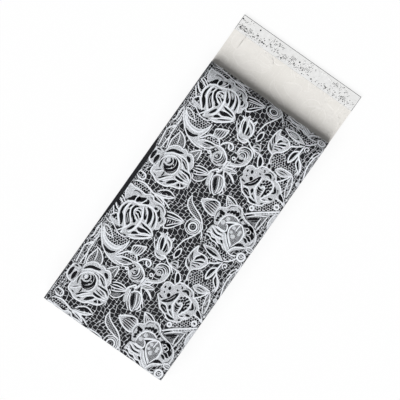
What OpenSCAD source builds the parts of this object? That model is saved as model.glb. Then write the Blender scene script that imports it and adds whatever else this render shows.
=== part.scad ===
// Slim rigid card box with a rolled nose at its mouth and a lid with two creases.
// Millimetres. +Z up out of the front, +Y towards the mouth, X across.
// The origin is the middle of the back face of the body, which the box lies on.
// The lid lies open, flat and in line with the back face.

/* [Body] */
// Outside width of the body and of the lid
body_w = 107; // [85:1:160]
// Outside length of the body, from the foot to the mouth
body_l = 217; // [150:1:300]
// Outside depth of the body, from the back face to the front face
body_h = 25; // [24:0.5:32]

/* [Layers] */
// Thickness of the grey board
board_t = 1.5; // [1:0.1:2]
// Thickness of the wrap paper
wrap_t = 0.3; // [0.15:0.05:0.5]
// Thickness of the lining paper
liner_t = 0.2; // [0.1:0.05:0.4]

/* [Nose] */
// Outside radius of the rolled nose
nose_r = 20; // [16:0.5:21]
// Angle that the nose turns through, from the front face down to its lip
nose_turn = 70; // [60:1:75]
// Length of wrap paper turned in behind the edges of the mouth
hem_l = 8; // [4:0.5:10]

/* [Lid] */
// Length of the flap, from its crease line to its free edge
flap_l = 19; // [19:0.5:26]
// Angle that the flap folds through to lie on the nose
flap_fold = 70; // [66:1:72]
// Clearance between the closed lid and the body
lid_clear = 0.5; // [0.3:0.1:0.8]
// Width of the wrap band that is turned in over the inside of the flap
band_w = 13; // [8:0.5:14.5]

/* [Magnets] */
// Diameter of the magnets and of the keepers
magnet_d = 6; // [4:0.5:7]
// Thickness of a keeper
keeper_t = 1; // [0.6:0.1:1.2]
// Distance between the two magnets, centre to centre
magnet_pitch = 60; // [30:1:72]
// Radial clearance of a magnet or a keeper in its hole
magnet_clear = 0.05; // [0.02:0.01:0.15]

/* [Hidden] */
$fn = 96;

// Overlap of a cutting tool past the face that it cuts
cut = 1;

// Depths of the layers below the outside: under the wrap, under the board, under the lining
board_in = wrap_t + board_t;
panel_t = board_in + liner_t;

// Edges of the body
half_w = body_w / 2;
foot_y = -body_l / 2;
mouth_y = body_l / 2;

// Line that the nose turns about, across the body
nose_y = mouth_y - nose_r * sin(nose_turn);
nose_z = body_h - nose_r;
// Angle where the grey board of the nose stops, one wrap thickness short of the lip
wrap_turn = asin(wrap_t / nose_r);
nose_board_turn = nose_turn - wrap_turn;
// Radii of the layers of the nose
nose_board_r = nose_r - wrap_t;
nose_liner_r = nose_r - board_in;
nose_inner_r = nose_r - panel_t;
nose_hem_r = nose_liner_r - wrap_t;
// Angle that the turned-in wrap takes up inside the nose
hem_turn = asin(hem_l / nose_r);
// Height of the lip's board and of the hem behind it, where the side walls meet them
lip_z = nose_z + nose_liner_r * cos(nose_turn);
hem_z = nose_z + nose_hem_r * cos(nose_turn);

// Creases: each gap between two boards is as wide as two panels and two clearances
crease_half = panel_t + lid_clear;
spine_axis_y = mouth_y + crease_half;
// The flap lies along the nose where the nose slopes by this angle
rest_slope = 90 - flap_fold;
// From the turning line of the nose to the crease line of the closed spine
nose_to_axis = nose_r * sin(nose_turn) + crease_half;
// Length from crease line to crease line
spine_l = nose_z + (nose_r + panel_t + lid_clear - nose_to_axis * sin(rest_slope)) / cos(rest_slope);
flap_axis_y = spine_axis_y + spine_l;
free_y = flap_axis_y + flap_l;
// Boards of the lid, between the creases
spine_y0 = spine_axis_y + crease_half;
spine_y1 = flap_axis_y - crease_half;
flap_y0 = flap_axis_y + crease_half;
flap_y1 = free_y - wrap_t;
// Place along the flap that touches down on the nose, where the magnets go
touch_l = nose_to_axis * cos(rest_slope) - (spine_l - nose_z) * sin(rest_slope);
magnet_y = flap_axis_y + touch_l;
// Highest place of a flat keeper under the wrap, where its rim just meets the board's surface
keeper_top = sqrt(nose_board_r * nose_board_r - magnet_d * magnet_d / 4);

// ---- helpers ----

// Box between two corners
module span(x0, x1, y0, y1, z0, z1) {
    translate([x0, y0, z0]) cube([x1 - x0, y1 - y0, z1 - z0]);
}

// Prism along Y with a profile in X and Z
module along_y(y0, y1) {
    translate([0, y1, 0]) rotate([90, 0, 0]) linear_extrude(y1 - y0) children();
}

// Prism along X with a profile in Y and Z
module along_x(x0, x1) {
    translate([x0, 0, 0]) rotate([90, 0, 90]) linear_extrude(x1 - x0) children();
}

// Ring about the nose's turning line, from angle a0 to a1 below the front, profile in radius and X
module nose_ring(a0, a1) {
    translate([0, nose_y, nose_z]) rotate([-a0, 0, 0]) rotate([0, -90, 0]) mirror([0, 0, 1])
        rotate_extrude(angle = a1 - a0) children();
}

// Profile of a flat sheet between two heights, to half width w
module sheet_profile(z0, z1, w) {
    polygon([[-w, z0], [w, z0], [w, z1], [-w, z1]]);
}

// Profile of a rolled sheet between two radii, to half width w
module ring_strip(r0, r1, w) {
    polygon([[r0, -w], [r1, -w], [r1, w], [r0, w]]);
}

// Tapered profile of a mitred board: half width w0 at the outside o0 and w1 at the inside o1
module mitre_profile(o0, w0, o1, w1) {
    polygon([[-w0, o0], [w0, o0], [w1, o1], [-w1, o1]]);
}

// Mitred foot end of a front or a back board, cut square at y1
module foot_mitre_profile(z_out, z_in, y1) {
    polygon([[foot_y + wrap_t, z_out], [y1, z_out], [y1, z_in], [foot_y + board_in, z_in]]);
}

// Side view of the body between z0 and the front, with a nose of radius r, cut at y1 at the mouth
module side_slab(x0, x1, y0, y1, z0, r) {
    span(x0, x1, y0, nose_y, z0, nose_z + r);
    span(x0, x1, y0, y1, z0, nose_z);
    intersection() {
        translate([x0, nose_y, nose_z]) rotate([0, 90, 0]) cylinder(r = r, h = x1 - x0);
        span(x0 - cut, x1 + cut, nose_y - cut, y1, nose_z - cut, body_h);
    }
}

// Removes from a right-hand side board what the boards round it take up at the mitres
module side_mitres() {
    w0 = half_w - wrap_t;
    w1 = half_w - board_in;
    along_y(foot_y - cut, mouth_y + cut)
        polygon([[w1 - cut, wrap_t - cut], [w0 + cut, wrap_t - cut], [w1 - cut, board_in + cut]]);
    along_y(foot_y - cut, nose_y)
        polygon([
            [w1 - cut, body_h - wrap_t + cut], [w0 + cut, body_h - wrap_t + cut],
            [w1 - cut, body_h - board_in - cut]
        ]);
    nose_ring(0, 90)
        polygon([
            [nose_board_r + cut, w1 - cut], [nose_board_r + cut, w0 + cut], [nose_liner_r - cut, w1 - cut]
        ]);
    translate([0, 0, -cut]) linear_extrude(body_h + 2 * cut)
        polygon([
            [w1 - cut, foot_y + wrap_t - cut], [w0 + cut, foot_y + wrap_t - cut],
            [w1 - cut, foot_y + board_in + cut]
        ]);
}

module right_board() {
    difference() {
        side_slab(
            half_w - board_in, half_w - wrap_t, foot_y + wrap_t, mouth_y - wrap_t, wrap_t, nose_board_r
        );
        side_mitres();
    }
}

// Outer sheet, the cap over the board's edge at the mouth, and the hem turned in behind it
module right_wrap() {
    side_slab(half_w - wrap_t, half_w, foot_y, mouth_y, wrap_t, nose_board_r);
    span(half_w - board_in, half_w - wrap_t / 2, mouth_y - wrap_t, mouth_y, panel_t, lip_z);
    span(half_w - board_in - wrap_t, half_w - board_in, mouth_y - hem_l, mouth_y, panel_t, hem_z);
}

module right_liner() {
    side_slab(half_w - panel_t, half_w - board_in, foot_y + panel_t, mouth_y - hem_l, panel_t, nose_hem_r);
}

// Both places of a pair across the box
module magnet_pair() {
    translate([-magnet_pitch / 2, 0, 0]) children();
    translate([magnet_pitch / 2, 0, 0]) children();
}

// Puts a child on the nose at the touch-down slope, standing along the radius
module on_nose() {
    translate([0, nose_y, nose_z]) rotate([-rest_slope, 0, 0]) children();
}

// ---- body: grey boards ----

module back_board() {
    color([0.50, 0.48, 0.45])
        intersection() {
            along_y(foot_y, mouth_y)
                mitre_profile(wrap_t, half_w - wrap_t, board_in, half_w - board_in);
            along_x(-half_w, half_w) foot_mitre_profile(wrap_t, board_in, mouth_y);
        }
}

module front_board() {
    color([0.50, 0.48, 0.45])
        intersection() {
            along_y(foot_y, nose_y)
                mitre_profile(body_h - wrap_t, half_w - wrap_t, body_h - board_in, half_w - board_in);
            along_x(-half_w, half_w)
                foot_mitre_profile(body_h - wrap_t, body_h - board_in, nose_y);
        }
}

// Rolled board of the nose, mitred into the rounded corners of the side boards
module nose_board() {
    color([0.55, 0.52, 0.48])
        difference() {
            nose_ring(0, nose_board_turn)
                polygon([
                    [nose_board_r, -(half_w - wrap_t)], [nose_board_r, half_w - wrap_t],
                    [nose_liner_r, half_w - board_in], [nose_liner_r, -(half_w - board_in)]
                ]);
            on_nose() magnet_pair()
                translate([0, 0, nose_liner_r - cut])
                    cylinder(d = magnet_d + 2 * magnet_clear, h = board_t + 2 * cut);
        }
}

module left_side_board() {
    color([0.50, 0.48, 0.45]) mirror([1, 0, 0]) right_board();
}

module right_side_board() {
    color([0.50, 0.48, 0.45]) right_board();
}

module foot_board() {
    color([0.50, 0.48, 0.45])
        intersection() {
            along_x(-half_w, half_w)
                polygon([
                    [foot_y + wrap_t, wrap_t], [foot_y + wrap_t, body_h - wrap_t],
                    [foot_y + board_in, body_h - board_in], [foot_y + board_in, board_in]
                ]);
            linear_extrude(body_h)
                polygon([
                    [-(half_w - wrap_t), foot_y + wrap_t], [half_w - wrap_t, foot_y + wrap_t],
                    [half_w - board_in, foot_y + board_in], [-(half_w - board_in), foot_y + board_in]
                ]);
        }
}

// ---- body: printed wrap ----

// One sheet over the front and round the nose, capped over the lip and turned in behind it
module front_wrap() {
    color([0.14, 0.14, 0.15]) {
        along_y(foot_y, nose_y) sheet_profile(body_h - wrap_t, body_h, half_w);
        nose_ring(0, nose_turn) ring_strip(nose_board_r, nose_r, half_w);
        nose_ring(nose_board_turn, nose_turn)
            ring_strip(nose_hem_r, nose_r, half_w - board_in - wrap_t);
        nose_ring(nose_turn - hem_turn, nose_turn)
            ring_strip(nose_hem_r, nose_liner_r, half_w - board_in - wrap_t);
    }
}

module left_side_wrap() {
    color([0.14, 0.14, 0.15]) mirror([1, 0, 0]) right_wrap();
}

module right_side_wrap() {
    color([0.14, 0.14, 0.15]) right_wrap();
}

module foot_wrap() {
    color([0.14, 0.14, 0.15])
        span(-(half_w - wrap_t), half_w - wrap_t, foot_y, foot_y + wrap_t, wrap_t, body_h - wrap_t);
}

module back_wrap() {
    color([0.14, 0.14, 0.15]) span(-half_w, half_w, foot_y, mouth_y, 0, wrap_t);
}

// ---- body: lining ----

module back_liner() {
    color([0.93, 0.90, 0.85])
        span(-(half_w - board_in), half_w - board_in, foot_y + board_in, mouth_y, board_in, panel_t);
}

// Lines the front and the inside of the nose as far as the hem
module front_liner() {
    w = half_w - board_in;
    color([0.93, 0.90, 0.85]) {
        along_y(foot_y + board_in, nose_y) sheet_profile(body_h - panel_t, body_h - board_in, w);
        nose_ring(0, nose_turn - hem_turn) ring_strip(nose_inner_r, nose_liner_r, w);
    }
}

module left_side_liner() {
    color([0.93, 0.90, 0.85]) mirror([1, 0, 0]) right_liner();
}

module right_side_liner() {
    color([0.93, 0.90, 0.85]) right_liner();
}

module foot_liner() {
    w = half_w - board_in;
    color([0.93, 0.90, 0.85])
        span(-w, w, foot_y + board_in, foot_y + panel_t, panel_t, body_h - panel_t);
}

// Steel discs in the nose, under the wrap, that the magnets hold to
module nose_keepers() {
    color([0.62, 0.63, 0.66])
        on_nose() magnet_pair()
            translate([0, 0, keeper_top - keeper_t]) cylinder(d = magnet_d, h = keeper_t);
}

// ---- lid: spine ----

module spine_crease_wrap() {
    color([0.12, 0.12, 0.13]) span(-half_w, half_w, mouth_y, spine_y0, 0, wrap_t);
}

module spine_crease_liner() {
    color([0.93, 0.90, 0.85]) span(-half_w, half_w, mouth_y, spine_y0, board_in, panel_t);
}

module spine_board() {
    color([0.50, 0.48, 0.45])
        span(-(half_w - wrap_t), half_w - wrap_t, spine_y0, spine_y1, wrap_t, board_in);
}

// Sheet under the board, turned up over the board's two side edges
module spine_wrap() {
    color([0.14, 0.14, 0.15]) {
        span(-half_w, half_w, spine_y0, spine_y1, 0, wrap_t);
        span(-half_w, -(half_w - wrap_t), spine_y0, spine_y1, wrap_t, board_in);
        span(half_w - wrap_t, half_w, spine_y0, spine_y1, wrap_t, board_in);
    }
}

module spine_liner() {
    color([0.93, 0.90, 0.85]) span(-half_w, half_w, spine_y0, spine_y1, board_in, panel_t);
}

// ---- lid: flap ----

module flap_crease_wrap() {
    color([0.12, 0.12, 0.13]) span(-half_w, half_w, spine_y1, flap_y0, 0, wrap_t);
}

module flap_crease_liner() {
    color([0.93, 0.90, 0.85]) span(-half_w, half_w, spine_y1, flap_y0, board_in, panel_t);
}

module flap_board() {
    color([0.50, 0.48, 0.45])
        difference() {
            span(-(half_w - wrap_t), half_w - wrap_t, flap_y0, flap_y1, wrap_t, board_in);
            magnet_pair()
                translate([0, magnet_y, wrap_t - cut])
                    cylinder(d = magnet_d + 2 * magnet_clear, h = board_t + 2 * cut);
        }
}

// Sheet under the board, turned up over three edges, with a band turned in at the free edge
module flap_wrap() {
    color([0.14, 0.14, 0.15]) {
        span(-half_w, half_w, flap_y0, free_y, 0, wrap_t);
        span(-half_w, -(half_w - wrap_t), flap_y0, free_y, wrap_t, board_in);
        span(half_w - wrap_t, half_w, flap_y0, free_y, wrap_t, board_in);
        span(-half_w, half_w, flap_y1, free_y, wrap_t, board_in);
        span(-half_w, half_w, free_y - band_w, free_y, board_in, board_in + wrap_t);
    }
}

module flap_liner() {
    color([0.93, 0.90, 0.85]) span(-half_w, half_w, flap_y0, free_y - band_w, board_in, panel_t);
}

module flap_magnets() {
    color([0.70, 0.71, 0.73])
        magnet_pair() translate([0, magnet_y, wrap_t]) cylinder(d = magnet_d, h = board_t);
}

back_board();
front_board();
nose_board();
left_side_board();
right_side_board();
foot_board();
front_wrap();
left_side_wrap();
right_side_wrap();
foot_wrap();
back_wrap();
back_liner();
front_liner();
left_side_liner();
right_side_liner();
foot_liner();
nose_keepers();
spine_crease_wrap();
spine_crease_liner();
spine_board();
spine_wrap();
spine_liner();
flap_crease_wrap();
flap_crease_liner();
flap_board();
flap_wrap();
flap_liner();
flap_magnets();
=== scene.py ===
# %% [markdown]
# # A wedding card box in lace paper
# This lesson dresses a slim rigid box for long cards. The box lies on its back with its end lid folded
# open flat. Its boards, paper wraps, linings, keepers and magnets come ready made from the CAD model.
# What is added here is what a maker would call the finish: charcoal paper, the raised white lace on it,
# the pearl lining, and the paper that bends at the two lid creases.

# %% Load the construction model
import math
import bpy
import numpy as np
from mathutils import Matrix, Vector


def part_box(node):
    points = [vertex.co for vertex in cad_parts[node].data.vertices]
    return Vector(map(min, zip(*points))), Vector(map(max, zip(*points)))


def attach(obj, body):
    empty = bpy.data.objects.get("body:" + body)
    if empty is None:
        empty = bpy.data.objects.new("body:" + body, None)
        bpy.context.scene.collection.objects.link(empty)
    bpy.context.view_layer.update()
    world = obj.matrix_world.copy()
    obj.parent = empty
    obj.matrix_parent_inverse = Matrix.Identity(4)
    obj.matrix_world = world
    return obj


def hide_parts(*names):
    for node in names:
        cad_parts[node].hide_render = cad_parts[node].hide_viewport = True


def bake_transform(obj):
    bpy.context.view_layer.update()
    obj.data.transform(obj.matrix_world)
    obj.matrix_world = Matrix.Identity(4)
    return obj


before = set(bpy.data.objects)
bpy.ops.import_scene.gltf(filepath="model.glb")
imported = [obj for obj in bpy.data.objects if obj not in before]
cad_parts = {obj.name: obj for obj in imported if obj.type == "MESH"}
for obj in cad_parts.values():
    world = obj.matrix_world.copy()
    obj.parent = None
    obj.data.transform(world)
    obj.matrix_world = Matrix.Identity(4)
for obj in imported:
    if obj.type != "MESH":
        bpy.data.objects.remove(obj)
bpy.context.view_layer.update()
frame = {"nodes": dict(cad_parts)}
NODES, MM = frame["nodes"], 0.001

# %% [markdown]
# The sizes that the finish needs are read from the loaded nodes. Only the nose's radius and turn are written
# down here: it is a roll of 20 mm through 70 degrees at the mouth, and its centre line runs across the box.

# %% Sizes of the box
def span(node):
    """Lowest and highest corner of a construction node in millimetres, as two arrays."""
    lo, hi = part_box(node)
    return np.array(lo) / MM, np.array(hi) / MM


HALF, MOUTH, TOP = (float(c) for c in span("front_wrap")[1])
FOOT = float(span("foot_wrap")[0][1])
FREE = float(span("flap_wrap")[1][1])
LID_TOP = float(span("spine_liner")[1][2])
NOSE_R, NOSE_TURN = 20.0, math.radians(70)
NOSE_Z = TOP - NOSE_R
NOSE_Y = MOUTH - NOSE_R * math.sin(NOSE_TURN)
NOSE_ARC = NOSE_R * NOSE_TURN
CREASES = [(span(name)[0][1], span(name)[1][1]) for name in ("spine_crease_wrap", "flap_crease_wrap")]
print("half width", HALF, "top", TOP, "mouth", round(MOUTH, 2), "free edge", round(FREE, 2))
print("creases", np.round(CREASES, 2).tolist())

# %% [markdown]
# Colours are written as the maker would pick them from a swatch book, as red, green and blue out of
# 255. A renderer works with light, so each value is turned into linear light first.

# %% Swatches
def swatch(r, g, b):
    """Linear light for a swatch: below 4% the value over 12.92, above it ((value + 0.055) / 1.055) to the
    power 2.4."""
    c = np.array([r, g, b]) / 255
    lin = np.where(c <= 0.04045, c / 12.92, ((c + 0.055) / 1.055) ** 2.4)
    return (*lin.tolist(), 1.0)


# SHADED_GAP_CHARCOAL is the charcoal paper seen through the lace's openings, made a touch darker than CHARCOAL as
# painted shade in them.
CHARCOAL, SHADED_GAP_CHARCOAL = swatch(30, 30, 33), swatch(24, 24, 27)
LACE_WHITE, BORDER_WHITE = swatch(229, 232, 237), swatch(230, 230, 229)
# PEARL_PAINTED_HIGHLIGHT is the lining's pearl made a touch lighter: painted highlight on the raised pressed lace.
PEARL, PEARL_PAINTED_HIGHLIGHT = swatch(230, 227, 221), swatch(236, 233, 228)
GREY_BOARD, STEEL, NICKEL = swatch(150, 147, 140), swatch(150, 152, 156), swatch(196, 194, 188)

# %% [markdown]
# Paper is never one flat colour: its fibres make it a touch lighter here and darker there. Several
# materials need that, so it is a node group, made once. It puts out a colour and a height for the bump.

# %% Fibre mottle shared by the papers
def fibre_group():
    """Colour = base times a factor from 1 - amount to 1 + amount, which follows a noise; height = a finer noise."""
    g = bpy.data.node_groups.new("paper fibres", "ShaderNodeTree")
    for name, kind in (("Colour", "NodeSocketColor"), ("Scale", "NodeSocketFloat"), ("Amount", "NodeSocketFloat")):
        g.interface.new_socket(name, in_out="INPUT", socket_type=kind)
    for name, kind in (("Colour", "NodeSocketColor"), ("Height", "NodeSocketFloat")):
        g.interface.new_socket(name, in_out="OUTPUT", socket_type=kind)
    n, link = g.nodes, g.links.new
    inp, out, tex = n.new("NodeGroupInput"), n.new("NodeGroupOutput"), n.new("ShaderNodeTexCoord")
    noise, fine = n.new("ShaderNodeTexNoise"), n.new("ShaderNodeTexNoise")
    noise.inputs["Detail"].default_value = 5
    fine.inputs["Scale"].default_value, fine.inputs["Detail"].default_value = 2600, 3
    spread, mix = n.new("ShaderNodeMapRange"), n.new("ShaderNodeMix")
    mix.data_type, mix.blend_type = "RGBA", "MULTIPLY"
    mix.inputs["Factor"].default_value = 1
    low, high, grey = n.new("ShaderNodeMath"), n.new("ShaderNodeMath"), n.new("ShaderNodeCombineColor")
    low.operation, high.operation = "SUBTRACT", "ADD"
    low.inputs[0].default_value = high.inputs[0].default_value = 1
    link(tex.outputs["Object"], noise.inputs["Vector"])
    link(tex.outputs["Object"], fine.inputs["Vector"])
    link(inp.outputs["Scale"], noise.inputs["Scale"])
    link(inp.outputs["Amount"], low.inputs[1])
    link(inp.outputs["Amount"], high.inputs[1])
    link(noise.outputs["Fac"], spread.inputs["Value"])
    spread.inputs["From Min"].default_value, spread.inputs["From Max"].default_value = 0.3, 0.7
    link(low.outputs[0], spread.inputs["To Min"])
    link(high.outputs[0], spread.inputs["To Max"])
    for s in ("Red", "Green", "Blue"):
        link(spread.outputs["Result"], grey.inputs[s])
    link(inp.outputs["Colour"], mix.inputs["A"])
    link(grey.outputs["Color"], mix.inputs["B"])
    link(mix.outputs["Result"], out.inputs["Colour"])
    link(fine.outputs["Fac"], out.inputs["Height"])
    return g


FIBRES = fibre_group()
FIBRE_DEPTH = 0.0002


def finish_material(name, colour, rough, scale, amount, bump, metal=0.0, shine=0.5):
    """A material whose colour and bump come from the fibre group; roughness and metal are plain numbers."""
    m = bpy.data.materials.new(name)
    m.use_nodes = True
    n, link = m.node_tree.nodes, m.node_tree.links.new
    skin = n["Principled BSDF"]
    skin.inputs["Roughness"].default_value = rough
    skin.inputs["Metallic"].default_value = metal
    skin.inputs["Specular IOR Level"].default_value = shine
    grp, bmp = n.new("ShaderNodeGroup"), n.new("ShaderNodeBump")
    grp.node_tree = FIBRES
    grp.inputs["Colour"].default_value = colour
    grp.inputs["Scale"].default_value = scale
    grp.inputs["Amount"].default_value = amount
    bmp.inputs["Strength"].default_value = bump
    bmp.inputs["Distance"].default_value = FIBRE_DEPTH
    link(grp.outputs["Colour"], skin.inputs["Base Color"])
    link(grp.outputs["Height"], bmp.inputs["Height"])
    link(bmp.outputs["Normal"], skin.inputs["Normal"])
    return m


charcoal_paper = finish_material("charcoal paper", CHARCOAL, 0.7, scale=240, amount=0.16, bump=0.12, shine=0.15)
gap_paper_painted_shade = finish_material("charcoal paper in the gaps, painted shade", SHADED_GAP_CHARCOAL, 0.8, scale=240, amount=0.12, bump=0.1,
                            shine=0.1)
lace_thread = finish_material("white lace thread", LACE_WHITE, 0.75, scale=420, amount=0.05, bump=0.25)
border_thread = finish_material("white border thread", BORDER_WHITE, 0.75, scale=420, amount=0.06, bump=0.3)
pearl_paper = finish_material("pearl lining paper", PEARL, 0.55, scale=120, amount=0.02, bump=0.06)
pressed_pearl_painted_highlight = finish_material("pressed pearl lace, painted highlight", PEARL_PAINTED_HIGHLIGHT, 0.5, scale=120, amount=0.02, bump=0.06)
grey_board = finish_material("grey board", GREY_BOARD, 0.9, scale=300, amount=0.1, bump=0.2)
keeper_steel = finish_material("keeper steel", STEEL, 0.38, scale=90, amount=0.05, bump=0.02, metal=1.0)
magnet_nickel = finish_material("magnet nickel", NICKEL, 0.25, scale=60, amount=0.03, bump=0.01, metal=1.0)
print(len(bpy.data.materials), "finishes")

# %% [markdown]
# Every construction node is given its finish by what it is made of, board, wrap, lining or metal.

# %% Finish the construction nodes
FINISH = {"board": (grey_board, "grey_board"), "wrap": (charcoal_paper, "lace_wrap"),
          "liner": (pearl_paper, "lining_paper"), "keepers": (keeper_steel, "keeper_steel"),
          "magnets": (magnet_nickel, "magnet_plating")}
for name, node in NODES.items():
    material, slot = FINISH[name.rsplit("_", 1)[1]]
    node.data.materials.clear()
    node.data.materials.append(material)
print("finished", len(NODES), "nodes")

# %% [markdown]
# Lace starts as a drawing. Every motif is a few control points in millimetres on a sheet 107 mm wide
# that repeats every 106.5 mm along the box: u runs across from the left edge, v along from the lid's
# free edge towards the foot. Smooth curves go through the points, so a motif can be pulled about by hand.
# A stroke is written as its width and then u,v u,v and so on.

# %% Curves through control points
SHEET_U, TILE_V = 107.0, 106.5


def smooth(points, closed=False, per_span=7):
    """Catmull-Rom curve: each span is the cubic through its two ends whose slopes are half the chord
    between the neighbours on both sides."""
    p = pairs(*points)
    if closed:
        ext = np.vstack([p[-1], p, p[0], p[1]])
    else:
        ext = np.vstack([2 * p[0] - p[1], p, 2 * p[-1] - p[-2]])
    a, b, c, d = ext[:-3], ext[1:-2], ext[2:-1], ext[3:]
    t = (np.arange(per_span) / per_span)[None, :, None]
    a, b, c, d = (q[:, None, :] for q in (a, b, c, d))
    out = 0.5 * (2 * b + (c - a) * t + (2 * a - 5 * b + 4 * c - d) * t**2 + (3 * b - a - 3 * c + d) * t**3)
    out = out.reshape(-1, 2)
    return out if closed else np.vstack([out, p[-1]])


def bow(a, b, side):
    """Arc from a to b that stands off the chord by side at its middle: a parabola over the chord."""
    a, b = np.asarray(a, float), np.asarray(b, float)
    t = np.linspace(0, 1, 17)[:, None]
    n = np.array([-(b - a)[1], (b - a)[0]]) / np.linalg.norm(b - a)
    return a + (b - a) * t + n * side * 4 * t * (1 - t)


def pairs(*numbers):
    """A run of numbers, or of points, as one array of points."""
    return np.reshape(numbers, (-1, 2)).astype(float)


def circle(at, r, a):
    """Points at the angles a round a centre: centre plus radius times the cosine and the sine of the angle."""
    return np.c_[at[0] + r * np.cos(a), at[1] + r * np.sin(a)]


class Lace:
    """Collects a drawing: cords are raised white threads, slits are dark gaps, patches are filled areas."""

    def __init__(self):
        self.lines, self.areas = [], []

    def cord(self, width, *points):
        self.lines.append(("cord", smooth(points), width, False))

    def slit(self, width, *points):
        self.lines.append(("slit", smooth(points, per_span=9), width, False))

    def cords(self, *strokes):
        for stroke in strokes:
            self.cord(*stroke)

    def slits(self, *strokes):
        for stroke in strokes:
            self.slit(*stroke)

    def patch(self, tone, *points):
        self.areas.append((tone, smooth(points, closed=True)))

    def ring(self, at, r, width):
        self.lines.append(("cord", circle(at, r, np.linspace(0, 2 * np.pi, 25)), width, True))

    def disc(self, tone, at, r):
        self.areas.append((tone, circle(at, r, np.linspace(0, 2 * np.pi, 20, endpoint=False))))

    def coil(self, at, r0, r1, turns, start, width):
        """Spiral whose radius grows evenly with its angle; start is the angle in degrees at the inner end."""
        f = np.linspace(0, 1, max(8, int(abs(turns) * 26)))
        path = circle(at, r0 + (r1 - r0) * f, np.radians(start) + f * turns * 2 * np.pi)
        self.lines.append(("cord", path, width, False))

    def leaf(self, base, tip, left, right, tone, veins=(), slits=(), width=0.8, slit=1.4):
        """Leaf between two bowed edges; a vein or slit at share f runs that far from the left edge to the right."""
        e0, e1 = bow(base, tip, left), bow(base, tip, -right)
        self.areas.append((tone, np.vstack([e0, e1[-2:0:-1]])))
        for e in (e0, e1):
            self.lines.append(("cord", e, width, False))
        for f in veins:
            self.lines.append(("cord", ((1 - f) * e0 + f * e1)[1:14], width * 0.6, False))
        for f in slits:
            self.lines.append(("slit", ((1 - f) * e0 + f * e1)[3:14], slit, False))


# %% [markdown]
# The motifs are the stock figures of floral bobbin and guipure lace: roses with rolled hearts, a draped
# flower with a scalloped frill, a tulip, a sickle leaf, snail scrolls and small ring flowers. A motif is laid
# down as close white clothwork first; dark slits part its petals and raised cords go along their edges.

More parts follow.
